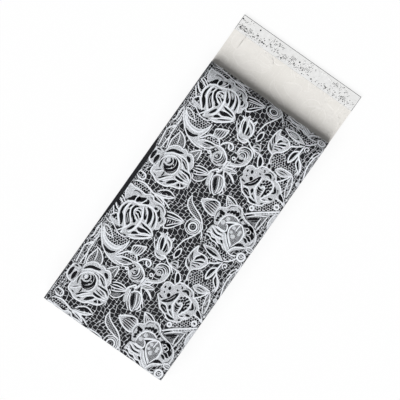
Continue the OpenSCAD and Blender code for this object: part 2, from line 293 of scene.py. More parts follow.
# %% Motifs of one repeat
def draw_rose(d):
    """Rolled rose with a scalloped collar, its bud leaves and the lobes beside it."""
    d.patch("w", 11.2,113.7, 13.4,111, 15.6,109.3, 18.7,108.8, 20.5,109.7, 22.2,108.4, 24.4,108.8, 25.8,109.7,
        27.5,108.8, 30.2,109.7, 32.4,112.4, 34.2,115.5, 33.7,119, 36.4,121.2, 38.6,123.9, 39.5,126.9, 40.8,131.8,
        38.6,130, 37.3,132.7, 34.6,134.9, 29.3,136.7, 25.8,138.9, 22.2,139.8, 17.8,139.8, 14.3,138, 10.7,136.7,
        9.6,134, 9.8,130.5, 9.8,122.5, 10.3,115.9)
    d.slits((1.75, 11.7,118, 13.5,115.4, 15.6,113.7, 18.7,112.9, 21,112.2, 23,111.5),
        (1.9, 26.2,111.8, 28.4,112.6, 30.5,114.5), (0.7, 23.6,115, 27,115.4, 29.8,116.8),
        (1.6, 25.6,116.8, 28.6,118, 31.8,120), (0.6, 19.6,116.3, 23.6,116.7, 26.6,119),
        (1.15, 16.9,119.3, 18.7,120.8, 18.7,122.9, 17,124.5), (0.5, 14.6,121.4, 14.8,123.2, 16,124.2),
        (2.0, 19.2,118.4, 21.4,120.4, 21.9,123.4, 20.4,125.9, 17.4,127, 14.6,125.9),
        (1.6, 20.6,117.4, 23.4,119.8, 24.1,123.4, 22.7,126.9, 19.6,128.8, 16,128),
        (0.6, 25.2,122, 25.4,125.4, 23.6,128.6, 20,130, 16.6,129.2), (0.9, 12.5,121, 12.6,125.6, 14,130.4),
        (0.45, 11.2,120, 11.2,124, 11.6,128), (1.2, 27.6,122.4, 31.9,122.3, 35.5,122.6, 38,124.6),
        (0.75, 30.8,124.4, 33,124.7, 35.8,125.6), (0.75, 28.2,125.9, 31.6,126.6, 35,127),
        (1.6, 27.6,128.5, 30.2,129.3, 34.8,128.7), (1.25, 24.7,130.8, 21,134, 17.6,137.4),
        (1.9, 30.6,131.4, 27.5,134, 25,137.1), (1.0, 16.5,130.8, 14.8,132.4, 12.6,134.4),
        (0.9, 22.6,137.2, 21.2,138, 19.6,138.7), (1.8, 31.9,134, 34.4,132.4, 37,131.6),
        (0.6, 13.1,136.2, 14.4,136.6, 15.8,136.8), (0.9, 18.8,130.6, 19.2,132.6, 18.6,134.8))
    d.cords((0.8, 10.6,117.6, 11.1,113.6, 13.3,110.9, 15.6,109.2, 18.7,108.7, 20.5,109.6, 22.2,108.3, 24.4,108.7,
        25.8,109.6, 27.5,108.7, 30.3,109.6, 32.5,112.3, 34.3,115.5, 33.9,119),
        (1.0, 11,119.8, 14,117, 18,114.8, 23.8,113.9, 28.4,115, 31.6,117.4, 33.8,120.2, 37,122, 38.8,124.6),
        (0.7, 20.6,115.8, 24,116, 27.4,119.6, 30,121.2, 34.4,121.2), (0.35, 26.4,116, 28.8,117.4, 31.2,119.2),
        (0.35, 25.8,117.6, 28,118.8, 30.4,120.6), (0.4, 21.8,118.8, 23,122, 22.2,125.4, 19.6,127.5),
        (0.9, 10.6,131.4, 12.6,122, 16,118.2, 20.4,116.9, 24.8,119.6, 26.2,124, 25.4,128.4, 22.6,131.4),
        (0.8, 27.6,121.2, 31.6,121, 36,121.6, 38.8,124.8, 39.4,127.6),
        (0.7, 27.4,123.6, 31,123.5, 35,124, 38.6,126.6), (0.6, 28,127.5, 33,127.8, 38.4,127.4),
        (0.8, 27.4,130.3, 32,130.4, 38.6,128.8), (0.7, 33.2,131.2, 34.6,132.8, 35.2,134.6),
        (0.9, 26.2,130, 22.4,133.4, 18.8,138.4), (0.9, 28.4,131, 24.6,134, 21.4,137.4),
        (0.8, 17.4,130.4, 14.8,133, 11.6,135.4), (0.7, 32,131.2, 30,134.4, 27,137.6), (1.0, 9.9,130.6, 9.7,134,
        10.8,136.8, 14.3,138.1, 17.8,139.9, 22.2,139.9, 25.9,139, 29.4,136.8, 34.7,135, 37.4,132.8, 38.8,130.2))
    d.disc("w", (16.5, 121.9), 1.1)
    d.ring((16.5, 121.9), 0.7, 0.7)
    for x, y in pairs(21.6,122.6, 21.6,125.3):
        d.ring((x, y), 0.3, 0.4)
    # lobes at the left
    d.patch("w", 3.2,118.6, 6.7,117.6, 10.2,119, 10.2,124, 10,130.4, 8.9,131.2, 6.1,130.4, 3.6,129.3, 2.5,124.6)
    d.slits((2.0, 5.1,120.9, 4.7,124.6, 4.9,128.6), (2.1, 8.7,122.6, 8.3,126, 8.6,129.9),
        (1.0, 4.6,119.6, 6,119.1, 7.7,119.3))
    d.cord(0.9, 3.7,118.8, 3,122, 2.8,126.4, 4,129.3, 6.3,130.6, 9.8,131.2)
    # leaves over the rose
    d.patch("n", 10.2,112, 9.8,108, 10.7,103.6, 11.6,101, 13.8,104, 14.6,108.4, 12.6,111)
    d.patch("g", 12.6,100.6, 15.2,101.4, 18.4,104.4, 19.6,107.8, 16.6,108.4, 15,108.6, 14.2,104.2)
    d.cords((0.9, 11.4,98.9, 10.5,104, 9.6,108, 10.3,112.4, 11,114.6),
        (1.0, 9.7,98.8, 14.3,100, 17.8,102.6, 20,106.2, 20.1,109), (0.7, 11.6,100.2, 13.8,104, 14.8,108.8))
    d.patch("g", 27,108, 29.8,104.8, 32.2,102, 33.4,105, 33.6,109.6, 30,109)
    d.cords((0.9, 25.6,108.4, 29.3,104.4, 32.4,101.6), (0.9, 32.4,101.6, 33.5,104.8, 34,110.4),
        (0.5, 31.6,103.6, 31.2,106, 30.7,109))
    # tall leaf up the left edge
    d.cords((1.0, 1.9,103.8, 3.6,100.4, 6.7,96.4), (0.9, 6.7,96.4, 6.7,104.8, 7.6,108.4, 9.8,115),
        (0.9, 1.9,103.8, 2.7,109, 3.7,117.4), (0.8, 6.8,106.6, 6.6,112, 6.5,117.6))
    d.slit(0.9, 8.2,110.4, 8.9,112.4, 9.9,114.4)


def draw_striped_leaf(d):
    """Striped leaf and open bud at the right of the rose, with the hook between them."""
    d.patch("d", 34.6,114.6, 38,111.8, 46.5,111.4, 47.2,116, 45.4,120, 39.4,123, 35.6,119.6)
    d.cords((0.85, 35.2,113.9, 38.3,111.9, 42.8,111.2, 46.8,112.2), (0.85, 36.1,115.3, 40,113.9, 46.6,112.9),
        (0.85, 35,117, 39,116.6, 43,114.9, 46.9,113.6), (0.85, 37.2,119.4, 41,118, 44,116, 47,114.2),
        (0.85, 38.2,122.8, 42.2,122.8, 45.6,120, 47.2,116), (0.85, 36,119.6, 38,121, 38.6,122.6))
    d.slits((0.9, 36.7,113.6, 40.4,112.6, 44.4,112.3), (0.9, 38.3,115.9, 41,115.2, 43.5,114.2))
    d.patch("g", 38.9,121.4, 41,119.4, 44.6,117.4, 45.4,118.8, 43,121.6, 40.4,122.2)
    d.cords((0.4, 36.4,116.6, 37.2,118.8), (0.4, 38.6,116, 39.4,118.2),
        (1.3, 46.6,114.4, 47.1,110.4, 48.8,107.8, 50.4,106.2, 51.6,106.6, 51.3,108, 50.2,108))
    d.patch("w", 46.8,112, 49.4,110.6, 50.6,114.6, 51.4,120.4, 49.6,121, 48,118)
    d.patch("g", 51.4,112, 54,109.4, 58,109.6, 61.4,114, 61.6,119.6, 59.4,123, 54,119.6)
    d.cords((1.1, 50.6,112.6, 52.6,109.8, 56,108.8, 59.2,110.8, 61.2,114.6, 61.8,118.6, 60.4,121.8),
        (0.9, 50.8,112, 51.8,116, 54.6,120, 58,123.2, 60.4,122.6),
        (0.8, 54.6,109.8, 56.6,113.4, 58.6,118, 59.2,122.4), (0.6, 57.2,110.4, 59.6,114.4, 60.2,120.4))
    d.slit(2.0, 52.8,111.4, 54.4,115.6, 57.4,120.4)
    d.cords((0.7, 49.4,110, 50.4,116, 53.4,121.4, 56.8,124.4), (0.7, 62.2,116.4, 63.8,118.8, 62.4,121.8))
    # stem and leaves above the bud
    d.leaf((52.8, 103.6), (63.8, 100.2), 1.7, 1.3, "g", veins=(0.5,), width=0.8)
    d.leaf((54.4, 104.2), (66.4, 108.6), -1.4, 2.3, "d", slits=(0.6,), width=0.9, slit=1.8)
    d.cords((1.0, 53,97, 52.8,103, 52,108.4), (1.0, 55,95.4, 54.2,101, 55.6,106, 59.6,110.6, 64.6,116.4),
        (0.8, 53.6,100, 57,98.2, 60.6,97.6))
    d.leaf((54, 101), (60, 97.8), 1.1, 0.6, "d", width=0.7)


def draw_sickle(d):
    """Hatched sickle leaf that runs out into a stem with a wheel scroll, and the striped lens leaf above it."""
    d.patch("n", 46.6,134, 49.4,137.2, 54,139.8, 59,141.8, 63,144.8, 64,146.4, 58.6,145.4, 53,143.8, 48.6,141.2,
        46.4,138)
    d.cords((0.9, 46.1,132.8, 45.9,137.4, 48,141.4, 52,143.9, 58.6,145.6, 64,146.4), (1.0, 46.1,132.8, 49,137,
        54,139.7, 59,141.6, 62.6,144.2, 64.8,146.8, 66.8,150, 65.6,154.7, 63,160, 60.6,164.1, 59.4,169.4, 58.9,174.7))
    d.patch("w", 53.4,131.6, 57.4,128.4, 61.9,126.4, 66.3,126.4, 69,129.4, 68.8,135.8, 65.8,136.9, 61.9,136.4,
        57.4,134.8)
    d.slits((0.8, 58.6,129.6, 62,128.2, 66.8,128.6), (0.8, 57.2,130.8, 62,129.9, 67.2,130.6),
        (0.8, 56.6,131.8, 62,131.8, 67.2,132.4), (0.8, 57,132.9, 62,133.5, 67,134.2),
        (0.8, 58.6,134.4, 62,135.2, 65.8,135.8), (0.8, 61,127.6, 63.6,127, 66,127.2))
    d.cords((0.9, 53.2,131.6, 57.4,128.3, 61.9,126.2, 66.3,126.1, 69.1,129.3),
        (0.9, 53.2,131.6, 57.4,135, 61.9,136.7, 65.8,137.2, 68.8,136))
    d.disc("d", (60.1, 152.2), 6.4)
    d.ring((60.1, 152.2), 5.9, 0.7)
    d.coil((60.1, 152.2), 4.6, 4.7, 0.8, -150, 0.7)
    d.ring((60.1, 152.2), 3.1, 1.2)
    for x, y in circle((60.1, 152.2), 1.3, np.arange(7) * 0.9 + 0.4):
        d.disc("w", (x, y), 0.28)
    d.cord(0.8, 66.2,150, 69,153.4, 70.6,157)


def draw_left_crest(d):
    """Hook, crest and eye leaf between the rose and the draped flower."""
    d.cord(1.1, 3.2,140.5, 6.1,140.3, 8.6,140.5, 10,142.6, 9,144.8, 5.8,145, 2.8,143.6)
    d.disc("d", (8.2, 142.4), 1.0)
    d.slit(0.7, 3.4,142.2, 5,142, 6.6,142.2)
    d.cord(1.2, 4.2,148.9, 8.3,146.9, 12.8,146.3, 17.2,147.4, 21.1,148.5, 25,147.8, 29,147, 33.4,145.2, 37,142)
    d.patch("m", 5.4,149.6, 9.6,147.8, 14,147.4, 19,148.8, 20.6,150.2, 15,151, 9,152.2)
    d.cords((0.9, 23,145.8, 26.7,142, 31.1,140.3, 36.7,141.7), (0.8, 23.3,146.9, 28,145.9, 32.6,144, 36.6,142.2))
    d.slit(1.3, 25,145.1, 28.4,142.9, 31.5,141.8, 35,142.1)
    d.disc("w", (30.8, 144.6), 0.9)
    d.disc("w", (34.4, 147), 0.7)
    d.leaf((22.6, 149.4), (34, 151.8), -0.4, 1.9, "d", slits=(0.45,), width=0.8, slit=1.3)
    d.cord(1.0, 22,148.8, 28,148.2, 34,149.4, 38,151.4)
    for x, y in pairs(20,101.6, 23,105.2, 35.1,106.4, 42.6,158.8, 69.2,115.6, 80.6,116.2, 49.6,142.2):
        d.disc("w", (x, y), 0.62)


def draw_draped(d):
    """Large draped flower under a scalloped frill, with its sepals, teeth and the fan leaf beside it."""
    d.patch("d", 5,162, 4,154, 9,152, 19,150.4, 30,151.4, 37,154.4, 41,162, 40,168, 39.4,175, 36,181, 28,185.6,
        18,187.4, 12,184, 7,178, 8,170, 8,165)
    # frill
    d.patch("w", 3.3,153.8, 3.9,152.4, 7.8,152.8, 13.1,152.4, 17.3,152.7, 20.1,150.8, 23.2,150.8, 25.2,152.7,
        29.4,152.4, 33.2,152.8, 37,155.1, 38,158.4, 40.5,159.9, 41.4,162.6, 39.9,165.7, 40.2,167.9, 38.2,170.4,
        37,166, 35,162.4, 32.6,159.4, 29,157.8, 25,158, 21.8,159.8, 18.8,161.6, 14.4,161.8, 13.2,157.4, 11.4,158.6,
        10,161, 7.4,163.6, 5.5,162.2, 3.8,159)
    d.cord(0.8, 7,163.6, 5.3,162, 3.7,159, 3.2,154, 3.9,152.3, 7.8,152.7, 13.1,152.3, 17.3,152.6, 20.1,150.7,
        23.2,150.7, 25.2,152.6, 29.4,152.3, 33.2,152.7, 37.1,155, 38.1,158.3, 40.6,159.8, 41.5,162.6, 40,165.7,
        40.3,168, 38.3,170.4)
    d.slits((2.0, 8.2,163, 10.2,161.6, 11.6,159.2, 12.4,157.6), (2.7, 14.9,161.2, 15.2,159, 17.4,157.4, 19.8,154.9),
        (1.8, 15,156.4, 15.4,158, 16.2,159.6), (2.0, 19.6,160.6, 21,158.6, 22.3,156.8, 21.2,154.8),
        (1.5, 28.4,157.6, 29.8,157, 31.4,156.8), (1.9, 32.4,156, 33.3,158.6, 35.6,160.6),
        (1.6, 35.8,160.4, 36.7,161.8, 37.1,164), (0.6, 8.6,156, 10,154.4, 13.5,154, 15.2,155.2),
        (0.6, 28,154.8, 30.8,153.8, 33.9,154.1, 36,156.2), (0.5, 21.4,152.6, 23,152.4, 24,153.6),
        (0.5, 38.4,160.8, 39.4,162.4, 38.8,164.6))
    d.cords((0.7, 13.6,161.8, 13.3,158.6, 13.6,155.6), (0.7, 18.3,161, 19.6,158, 20.4,155.4),
        (0.6, 31.4,159.4, 32,157.8, 32.2,156.4))
    # drapes at the left of the fold
    d.patch("w", 9,164.8, 13.1,161.8, 17.5,161.6, 21.8,160, 23.8,164.6, 26.4,170, 26.6,175, 25.6,179.6, 22.8,185,
        18,186.8, 13.6,182.4, 9.4,177, 7.6,171.6, 7.8,168)
    d.slits((1.4, 10.3,165.8, 9.4,169.8, 9.8,173.6, 11,176), (2.6, 10.3,174, 12.2,177.4, 15,181.8),
        (1.1, 13.9,164.4, 13.2,166.2, 12.9,168.2),
        (1.9, 19.4,163.2, 16.8,164.2, 15.8,167, 17.2,169.4, 19.6,171.9, 22,174.6),
        (1.8, 21.2,172.6, 21.8,173.8, 21.4,175.2), (1.1, 18.8,165, 20.4,164.7, 22,164.9),
        (1.8, 18.9,167.2, 21.4,166.6, 23.2,168, 24,169.8), (0.9, 17.6,168, 20.6,169.4, 23.8,171.2),
        (1.5, 24,176.2, 22.8,179.2, 20.8,182.4), (2.0, 16.6,182.4, 16.5,184.6, 16.6,187),
        (3.3, 13.8,168.4, 16.2,173, 19.6,179.6))
    d.cords((1.2, 8.9,165, 7.6,169, 8,173, 9.8,177, 13,180.8, 14.8,183.6),
        (1.3, 12.4,163.4, 11.1,167.8, 11.6,171.6, 13.6,175.2, 16.6,178.8, 18.6,181.4),
        (1.1, 15.4,164, 14.5,167, 15.7,170.3, 18.4,173.9, 20.4,177),
        (0.9, 22.6,163.2, 19.2,163.9, 17.4,166, 18.2,169, 21.4,171.4, 24.2,172.6),
        (0.7, 18,166.4, 21,165.6, 24,167.6), (0.6, 18.4,168.6, 21.4,168.6, 24,170.4),
        (1.5, 21.6,161, 24,165.6, 25.6,170.2, 25.7,175, 25,179.4, 22.6,183.4),
        (1.1, 21.2,176, 19.4,180.4, 17.2,184, 15,187.2), (0.35, 14.8,170, 17,173.6, 18.8,178),
        (0.35, 14.4,171.4, 16,174.8, 18,178.4), (1.0, 17.4,182.6, 18.3,184.4, 18.6,187))
    # drapes at the right of the fold
    d.patch("w", 22.4,160, 24.6,158.6, 28.6,158.4, 32.2,160.4, 34.8,163.6, 36.6,167, 37.6,170, 36.8,173, 31,171.8,
        27,171.4, 25,166)
    d.slits((1.2, 21.8,161.2, 23.8,163, 25.6,165.8, 27.2,168.8),
        (2.3, 24.2,159.8, 27.4,161.2, 29.4,163.9, 30.5,167, 31.1,170.4), (1.2, 26.6,164.4, 27.5,166.4, 27.6,169),
        (1.2, 29.8,159.8, 32.4,161.7, 33.9,164.4, 34.8,167.9, 35.2,170.8))
    d.cords((1.3, 8.4,165.2, 9.6,164.2, 13.1,162, 17.5,161.6, 20.6,160, 24.1,158.4, 28.5,158.3, 32.2,160.2,
        34.9,163.4, 36.7,166.9, 37.7,170.2), (0.9, 23.6,160.8, 26.4,163.2, 28.6,167, 29.2,171),
        (0.9, 28.8,159.6, 31.2,162.6, 32.8,166.6, 33.2,170.8))
    # sepals that run together at the right
    d.patch("w", 25.6,171, 31.8,171.2, 36.8,172.4, 39.8,174.8, 39.4,177.2, 36.4,180.4, 31.6,183.8, 26.8,185.8,
        22.6,186, 23.4,182, 25.6,178)
    d.slits((1.4, 27,171.9, 30.8,172.9, 34.4,173.3, 37,174), (2.5, 26.6,176.6, 29.6,176.8, 33,175.9, 37.4,175.1),
        (1.7, 25.2,182.9, 26.8,181, 29.6,180), (1.3, 28.6,182.6, 32.8,179.8, 37.2,177.1))
    d.cords((1.0, 26.6,171, 31.8,171.2, 36.8,172.5, 39.6,174.9), (0.9, 26.6,174.4, 32.6,174.1, 38.4,175),
        (1.0, 26.4,178.8, 30.8,178.6, 34.2,176.8, 38.8,175.4), (1.0, 24,184.6, 27.6,182.4, 31.4,179.8, 38.4,176),
        (1.2, 24.4,185.6, 28.4,185, 32.2,182.6, 36.2,179.4, 39.2,176.4))
    # teeth and lobes at its left
    d.cords((0.9, 1.2,164.6, 4.7,166.2, 8.4,168), (0.9, 0.5,167.6, 2.9,170.6, 5.6,172.8, 8.8,174),
        (0.9, 1,171.2, 3.4,174.4, 6,178), (0.9, 2,163, 5,164, 8.6,166.2))
    d.slits((1.0, 3.2,163.9, 5.6,164.7, 8,166.2), (1.9, 1.9,167.1, 4,168.9, 6.4,171),
        (1.2, 2.4,171.8, 4,173.4, 6.2,174.8))
    d.cord(0.9, 5.2,180.6, 5.8,178.2, 7.9,176.2, 9.6,178, 12,180.8)
    d.slit(1.6, 7.3,180, 8.1,178.6, 8.9,177.2)
    d.patch("w", 4.8,180.4, 8,180.6, 12.4,181, 14.7,183.4, 9.6,184, 5.4,183.2)
    d.cord(0.7, 2.6,183.4, 6,184.8, 10,184.4, 13.4,186.2, 18,188, 23,187.4, 26,185.4)
    # fan leaf at its right
    d.patch("d", 38.4,154.6, 44,152.4, 52.4,153, 49.4,158.6, 44.6,164, 42.4,163.6, 41,159)
    d.cords((1.0, 37.6,154.1, 42.4,152.4, 48.2,152, 53,152.9), (0.8, 39.2,156, 44.7,154.6, 51.4,153.2),
        (0.8, 40,157.8, 43.6,156.4, 48.6,154.8, 52,153.3), (0.8, 43.2,162.8, 47,158.8, 52,153.8),
        (0.8, 42.9,164.9, 46.6,162.5, 50,157.8, 53,153.2))
    d.slits((0.8, 41.8,154.6, 45.4,153.5, 49,153), (1.2, 43.6,163.8, 47.8,159.4, 50.4,156.2))
    for x, y in pairs(42.2,158.4, 43.8,157.4, 45.6,157, 47,156):
        d.cord(0.35, (x, y), (x + 0.6, y + 2.6))
    d.cord(1.0, 41.2,163.4, 42.9,165, 45.6,163.8)


def draw_middle_bud(d):
    """Closed bud between the draped flower and the stem of the sickle leaf."""
    d.patch("w", 44.3,169, 46.6,168.6, 49,168.6, 53.6,170.6, 56.4,175.2, 56.4,180.6, 56.8,183, 55,185.4, 49.6,185,
        46.4,182.4, 45.2,177)
    d.slits((1.9, 46.8,171.2, 48.4,175.4, 50.6,180.2), (1.5, 51.4,173.6, 52.4,176.6, 52.8,180.2),
        (1.1, 53.2,174.6, 54.4,177, 54.2,180), (0.6, 45.3,172, 45.9,175.4, 47.2,178.8),
        (0.7, 50.4,170.8, 52.8,171.8, 54.8,174), (0.6, 48.6,183.6, 51,184.4, 53.6,183.8))
    d.cords((1.0, 44.6,168.2, 44.9,174.2, 47.3,179.6, 48.4,181.6), (0.6, 45.8,169, 46.6,174.8, 49.2,180.4),
        (0.9, 48.2,169.4, 50.3,174.2, 51.4,180), (1.2, 48.6,168.8, 53.6,170.8, 56.3,175.4, 56,180.4),
        (0.6, 49.8,172.2, 52.8,173.4, 55.2,177.6), (0.3, 52.6,174.6, 53.6,177, 53.6,179.8),
        (0.8, 46.4,168.8, 47.4,166.4, 48.6,169.4), (0.8, 52.4,170.2, 54,166.8, 54.2,170.8),
        (0.8, 42.6,169, 44.6,170.4, 45.4,171.8), (0.8, 41.4,175, 43,177.6, 46,181.6),
        (0.9, 47,182.8, 50,185.6, 55,185.6, 57,182.6))


def draw_horn(d):
    """Crescent horn with a leaf and a round-holed net in its bow, and the striped leaf and hook above it."""
    d.patch("m", 8.8,189.4, 14,187.6, 20,188.4, 26.6,188, 26,192.6, 21.8,196, 17,196.8, 12,195.2)
    d.patch("w", 3.6,189.6, 7.6,192.7, 11.8,195.9, 17,197.4, 22.4,196.5, 25.3,194, 27.1,190.4, 27.4,194, 25.9,198.6,
        25.4,201.6, 29.4,203.4, 34,204.8, 30,207.2, 24,207.2, 19.4,205.8, 13.5,202.3, 10,198.8, 6.5,194.6)
    d.cords((0.9, 3.2,189.4, 6.5,194.8, 10,199, 13.5,202.6, 19.4,206.1, 26.5,207.8, 33,207),
        (0.8, 5.4,190.4, 7.6,192.5, 11.8,195.7, 17,197.2, 22.4,196.3, 25.4,193.8, 27.1,190.4, 27.4,187.4),
        (1.3, 7.4,193.6, 11.4,197.4, 17,199.2, 22.6,198.4, 26,194.6))
    d.slit(1.9, 13,201.4, 15.6,202.8, 18.4,203.3, 21,202.7, 23.8,200.6)
    d.patch("g", 5.6,188.8, 9,188.6, 13,190.4, 15,192.2, 10.6,192.2, 7,190.8)
    d.cords((0.8, 4.2,188.6, 7.6,187.9, 11.8,189.4, 15.4,192.5), (0.8, 5,189.2, 7.4,191.4, 10.6,192.9, 17,192.8),
        (0.9, 27.6,188, 27.8,193, 26.4,198, 24.6,202), (0.8, 3,189, 2.2,194, 2.8,199, 1.8,202.6),
        (0.8, 6.4,196.4, 6.6,200, 6,204.8, 4.4,208), (0.7, 4.4,192.4, 5,197, 4.6,201.4))
    # small striped leaf
    d.patch("w", 32.4,188.8, 35.5,186.6, 40.4,184.7, 40.6,188, 39.9,191, 38.2,193.4, 33.7,193.8, 32.4,191.5)
    d.slits((0.7, 33.5,188.9, 33.2,190.2, 33.6,191.6), (0.8, 35.1,187.8, 34.7,190.2, 34.4,192.8),
        (0.7, 36.5,187.2, 36.2,190, 36,193), (0.7, 38,186.4, 37.8,189.6, 37.6,192.8),
        (0.5, 39.5,186.4, 39.6,189.4, 39,191.8))
    d.cord(0.8, 32.4,191.6, 32.2,189, 35.4,186.6, 38.4,185.4, 40.8,184.4, 40.8,188, 40,191.2, 38.2,193.6, 33.6,194,
        32.4,191.6)
    # arched stem over a net, and the hook
    d.patch("m", 30.6,198.2, 32,195.8, 34.8,195, 38.2,195.2, 40.2,197.2, 36,198, 32,199)
    d.cords((1.2, 25.6,202, 28,199, 30.7,195.5, 34.6,194.2, 38.4,194.3, 41.4,197.6),
        (1.3, 41.6,197.6, 43.3,193.9, 45.6,192, 47.9,191.3, 50.1,192.2, 50.9,194.2, 50,196.2),
        (1.3, 46.6,192.6, 47.7,194.8, 49.4,196.2))
    # feathered leaf that ends in a snail scroll
    d.patch("w", 26,204, 28,200.9, 33,199.4, 38,198.6, 41.3,197.9, 44.4,197.8, 47.5,199, 50.5,201.1, 52.5,204.3,
        52.4,207.4, 50.5,210.2, 47,211.5, 43.5,211, 41.2,209.2, 40.7,206.5, 41.6,203, 43,201.2, 41,200.3, 39,200.9,
        36.6,203.4, 32.6,205.6, 28,206.2)
    d.slits((1.3, 30.4,202.2, 34,200.9, 38.6,200.1), (0.5, 29.6,204, 33,203.2, 36,202),
        (0.5, 31,205, 34,204, 36.6,202.6), (0.7, 43.1,205, 43.4,203.8, 44.5,203.5, 45.1,204.5, 44.5,205.4),
        (0.8, 42.4,206, 44,206.9, 45.7,206, 46,204, 45,202),
        (0.85, 46.8,200.8, 47.9,203.4, 47.6,206, 46,207.8, 43.6,208.6),
        (0.75, 48.6,201.4, 49.6,204.6, 49.1,207.4, 47.2,209.6), (0.8, 50.2,202.2, 51.1,205.2, 50.3,208.4),
        (0.6, 44,209.8, 46,210, 48,209.6))
    d.patch("d", 38.8,201.2, 40.8,200.8, 42.2,201.8, 41,203.6, 40.2,206.4, 39,204.6)
    d.cords((0.9, 26,203.6, 29.6,200.6, 34,199.4, 39,198.6),
        (1.1, 37,199.2, 41.3,198.1, 44.8,198.2, 48,199.6, 50.8,201.8, 52.3,204.6, 52.4,207.8, 53.4,213),
        (1.0, 26.4,205.6, 31,205.6, 35.4,204, 39,201), (0.8, 46,207.4, 47.1,205, 46.6,202, 45.4,200.4))
    d.disc("w", (40.6, 201.7), 0.8)
    d.ring((37.8, 205.8), 1.1, 0.9)
    d.cord(0.8, 33,207, 36,205.6, 39.6,206, 41,209.4)


def draw_snail(d):
    """Striped snail scroll, the lobed leaf over it and the thorn leaves that reach the right-hand rose."""
    d.patch("d", 53.6,196, 57,196, 60,197, 62.4,196.4, 62,199.6, 59.4,202, 56,202.8, 53.8,201)
    d.patch("w", 55,192.8, 55.4,189.3, 58.9,187.1, 63.4,187.3, 65.8,190.2, 66.2,194.6, 65.4,198.1, 62.5,201.7,
        58.5,203.7, 53.6,204.3, 53.4,203.2, 58.1,202.3, 61.2,200.3, 62.5,197.7, 62.2,195.4, 60.9,196.7, 58.9,197.1,
        56.3,195.7, 53.6,195.5, 53.2,194.5, 55,194)
    d.slits((0.95, 55.8,190.8, 58,188.6, 60.3,187.9, 62.9,188.3, 65.3,191),
        (0.5, 57.6,190.2, 60.2,189.3, 62.4,189.6, 64,191.4),
        (1.05, 56.5,193.2, 58,191.4, 59.8,190.9, 61.7,191.4, 63.1,193.6),
        (0.9, 57.8,195.2, 58.2,193.2, 60,192.4, 61.3,193.6, 61.2,195), (0.7, 58.9,194.9, 59.5,194.2, 60.2,194.8))
    d.cords((0.9, 55,194, 54.9,191, 56.6,188.2, 60,186.9, 63.6,187.2, 66,190.2, 66.3,194.6, 65.4,198.4, 62.4,202,
        58.4,203.9, 53,204.4), (0.6, 57,191.8, 59.8,189.9, 62.4,190.8, 64.2,193.8),
        (0.7, 57.2,194.8, 57.6,192.6, 59.9,191.6, 62,193, 62.3,196), (0.5, 57.2,196, 57.4,199, 58,202.2),
        (0.4, 58,199.6, 60.4,199.4, 62,198.6))
    d.ring((55.6, 199.4), 1.1, 0.9)
    d.cord(1.0, 52,183.4, 56.4,182.2, 60.6,184.7, 64.8,186.5, 68,189.4)
    d.patch("w", 62,184.2, 63,181.4, 66.4,179.6, 67.8,181.4, 68.8,183.6, 65,185.3)
    d.slits((1.0, 63.4,182.6, 65,181.6, 66.8,181.4), (0.9, 63.6,184.4, 65.6,183.6, 67.6,183.8))
    d.cord(0.9, 61,184.6, 66,185.8, 70,185.6)
    d.patch("w", 69.4,185.4, 72,186.6, 74.9,189, 76,193, 73.6,194.4, 71.2,190.2)
    d.slit(2.3, 71.3,186.8, 73.2,190.2, 74.6,193.4)
    d.cords((0.9, 69.2,185.2, 71.2,190.2, 73.6,194.4), (0.9, 70.2,185.2, 74.8,188.6, 76,193))
    d.patch("w", 78.2,189.6, 79.4,185.4, 83.6,190.6, 80.4,191.2)
    d.slit(1.8, 80.1,187.2, 80.5,188.8, 81.6,190.2)
    d.leaf((62, 179.8), (62.6, 169.8), 1.9, 1.9, "w", slits=(0.5,), width=0.7, slit=2.3)


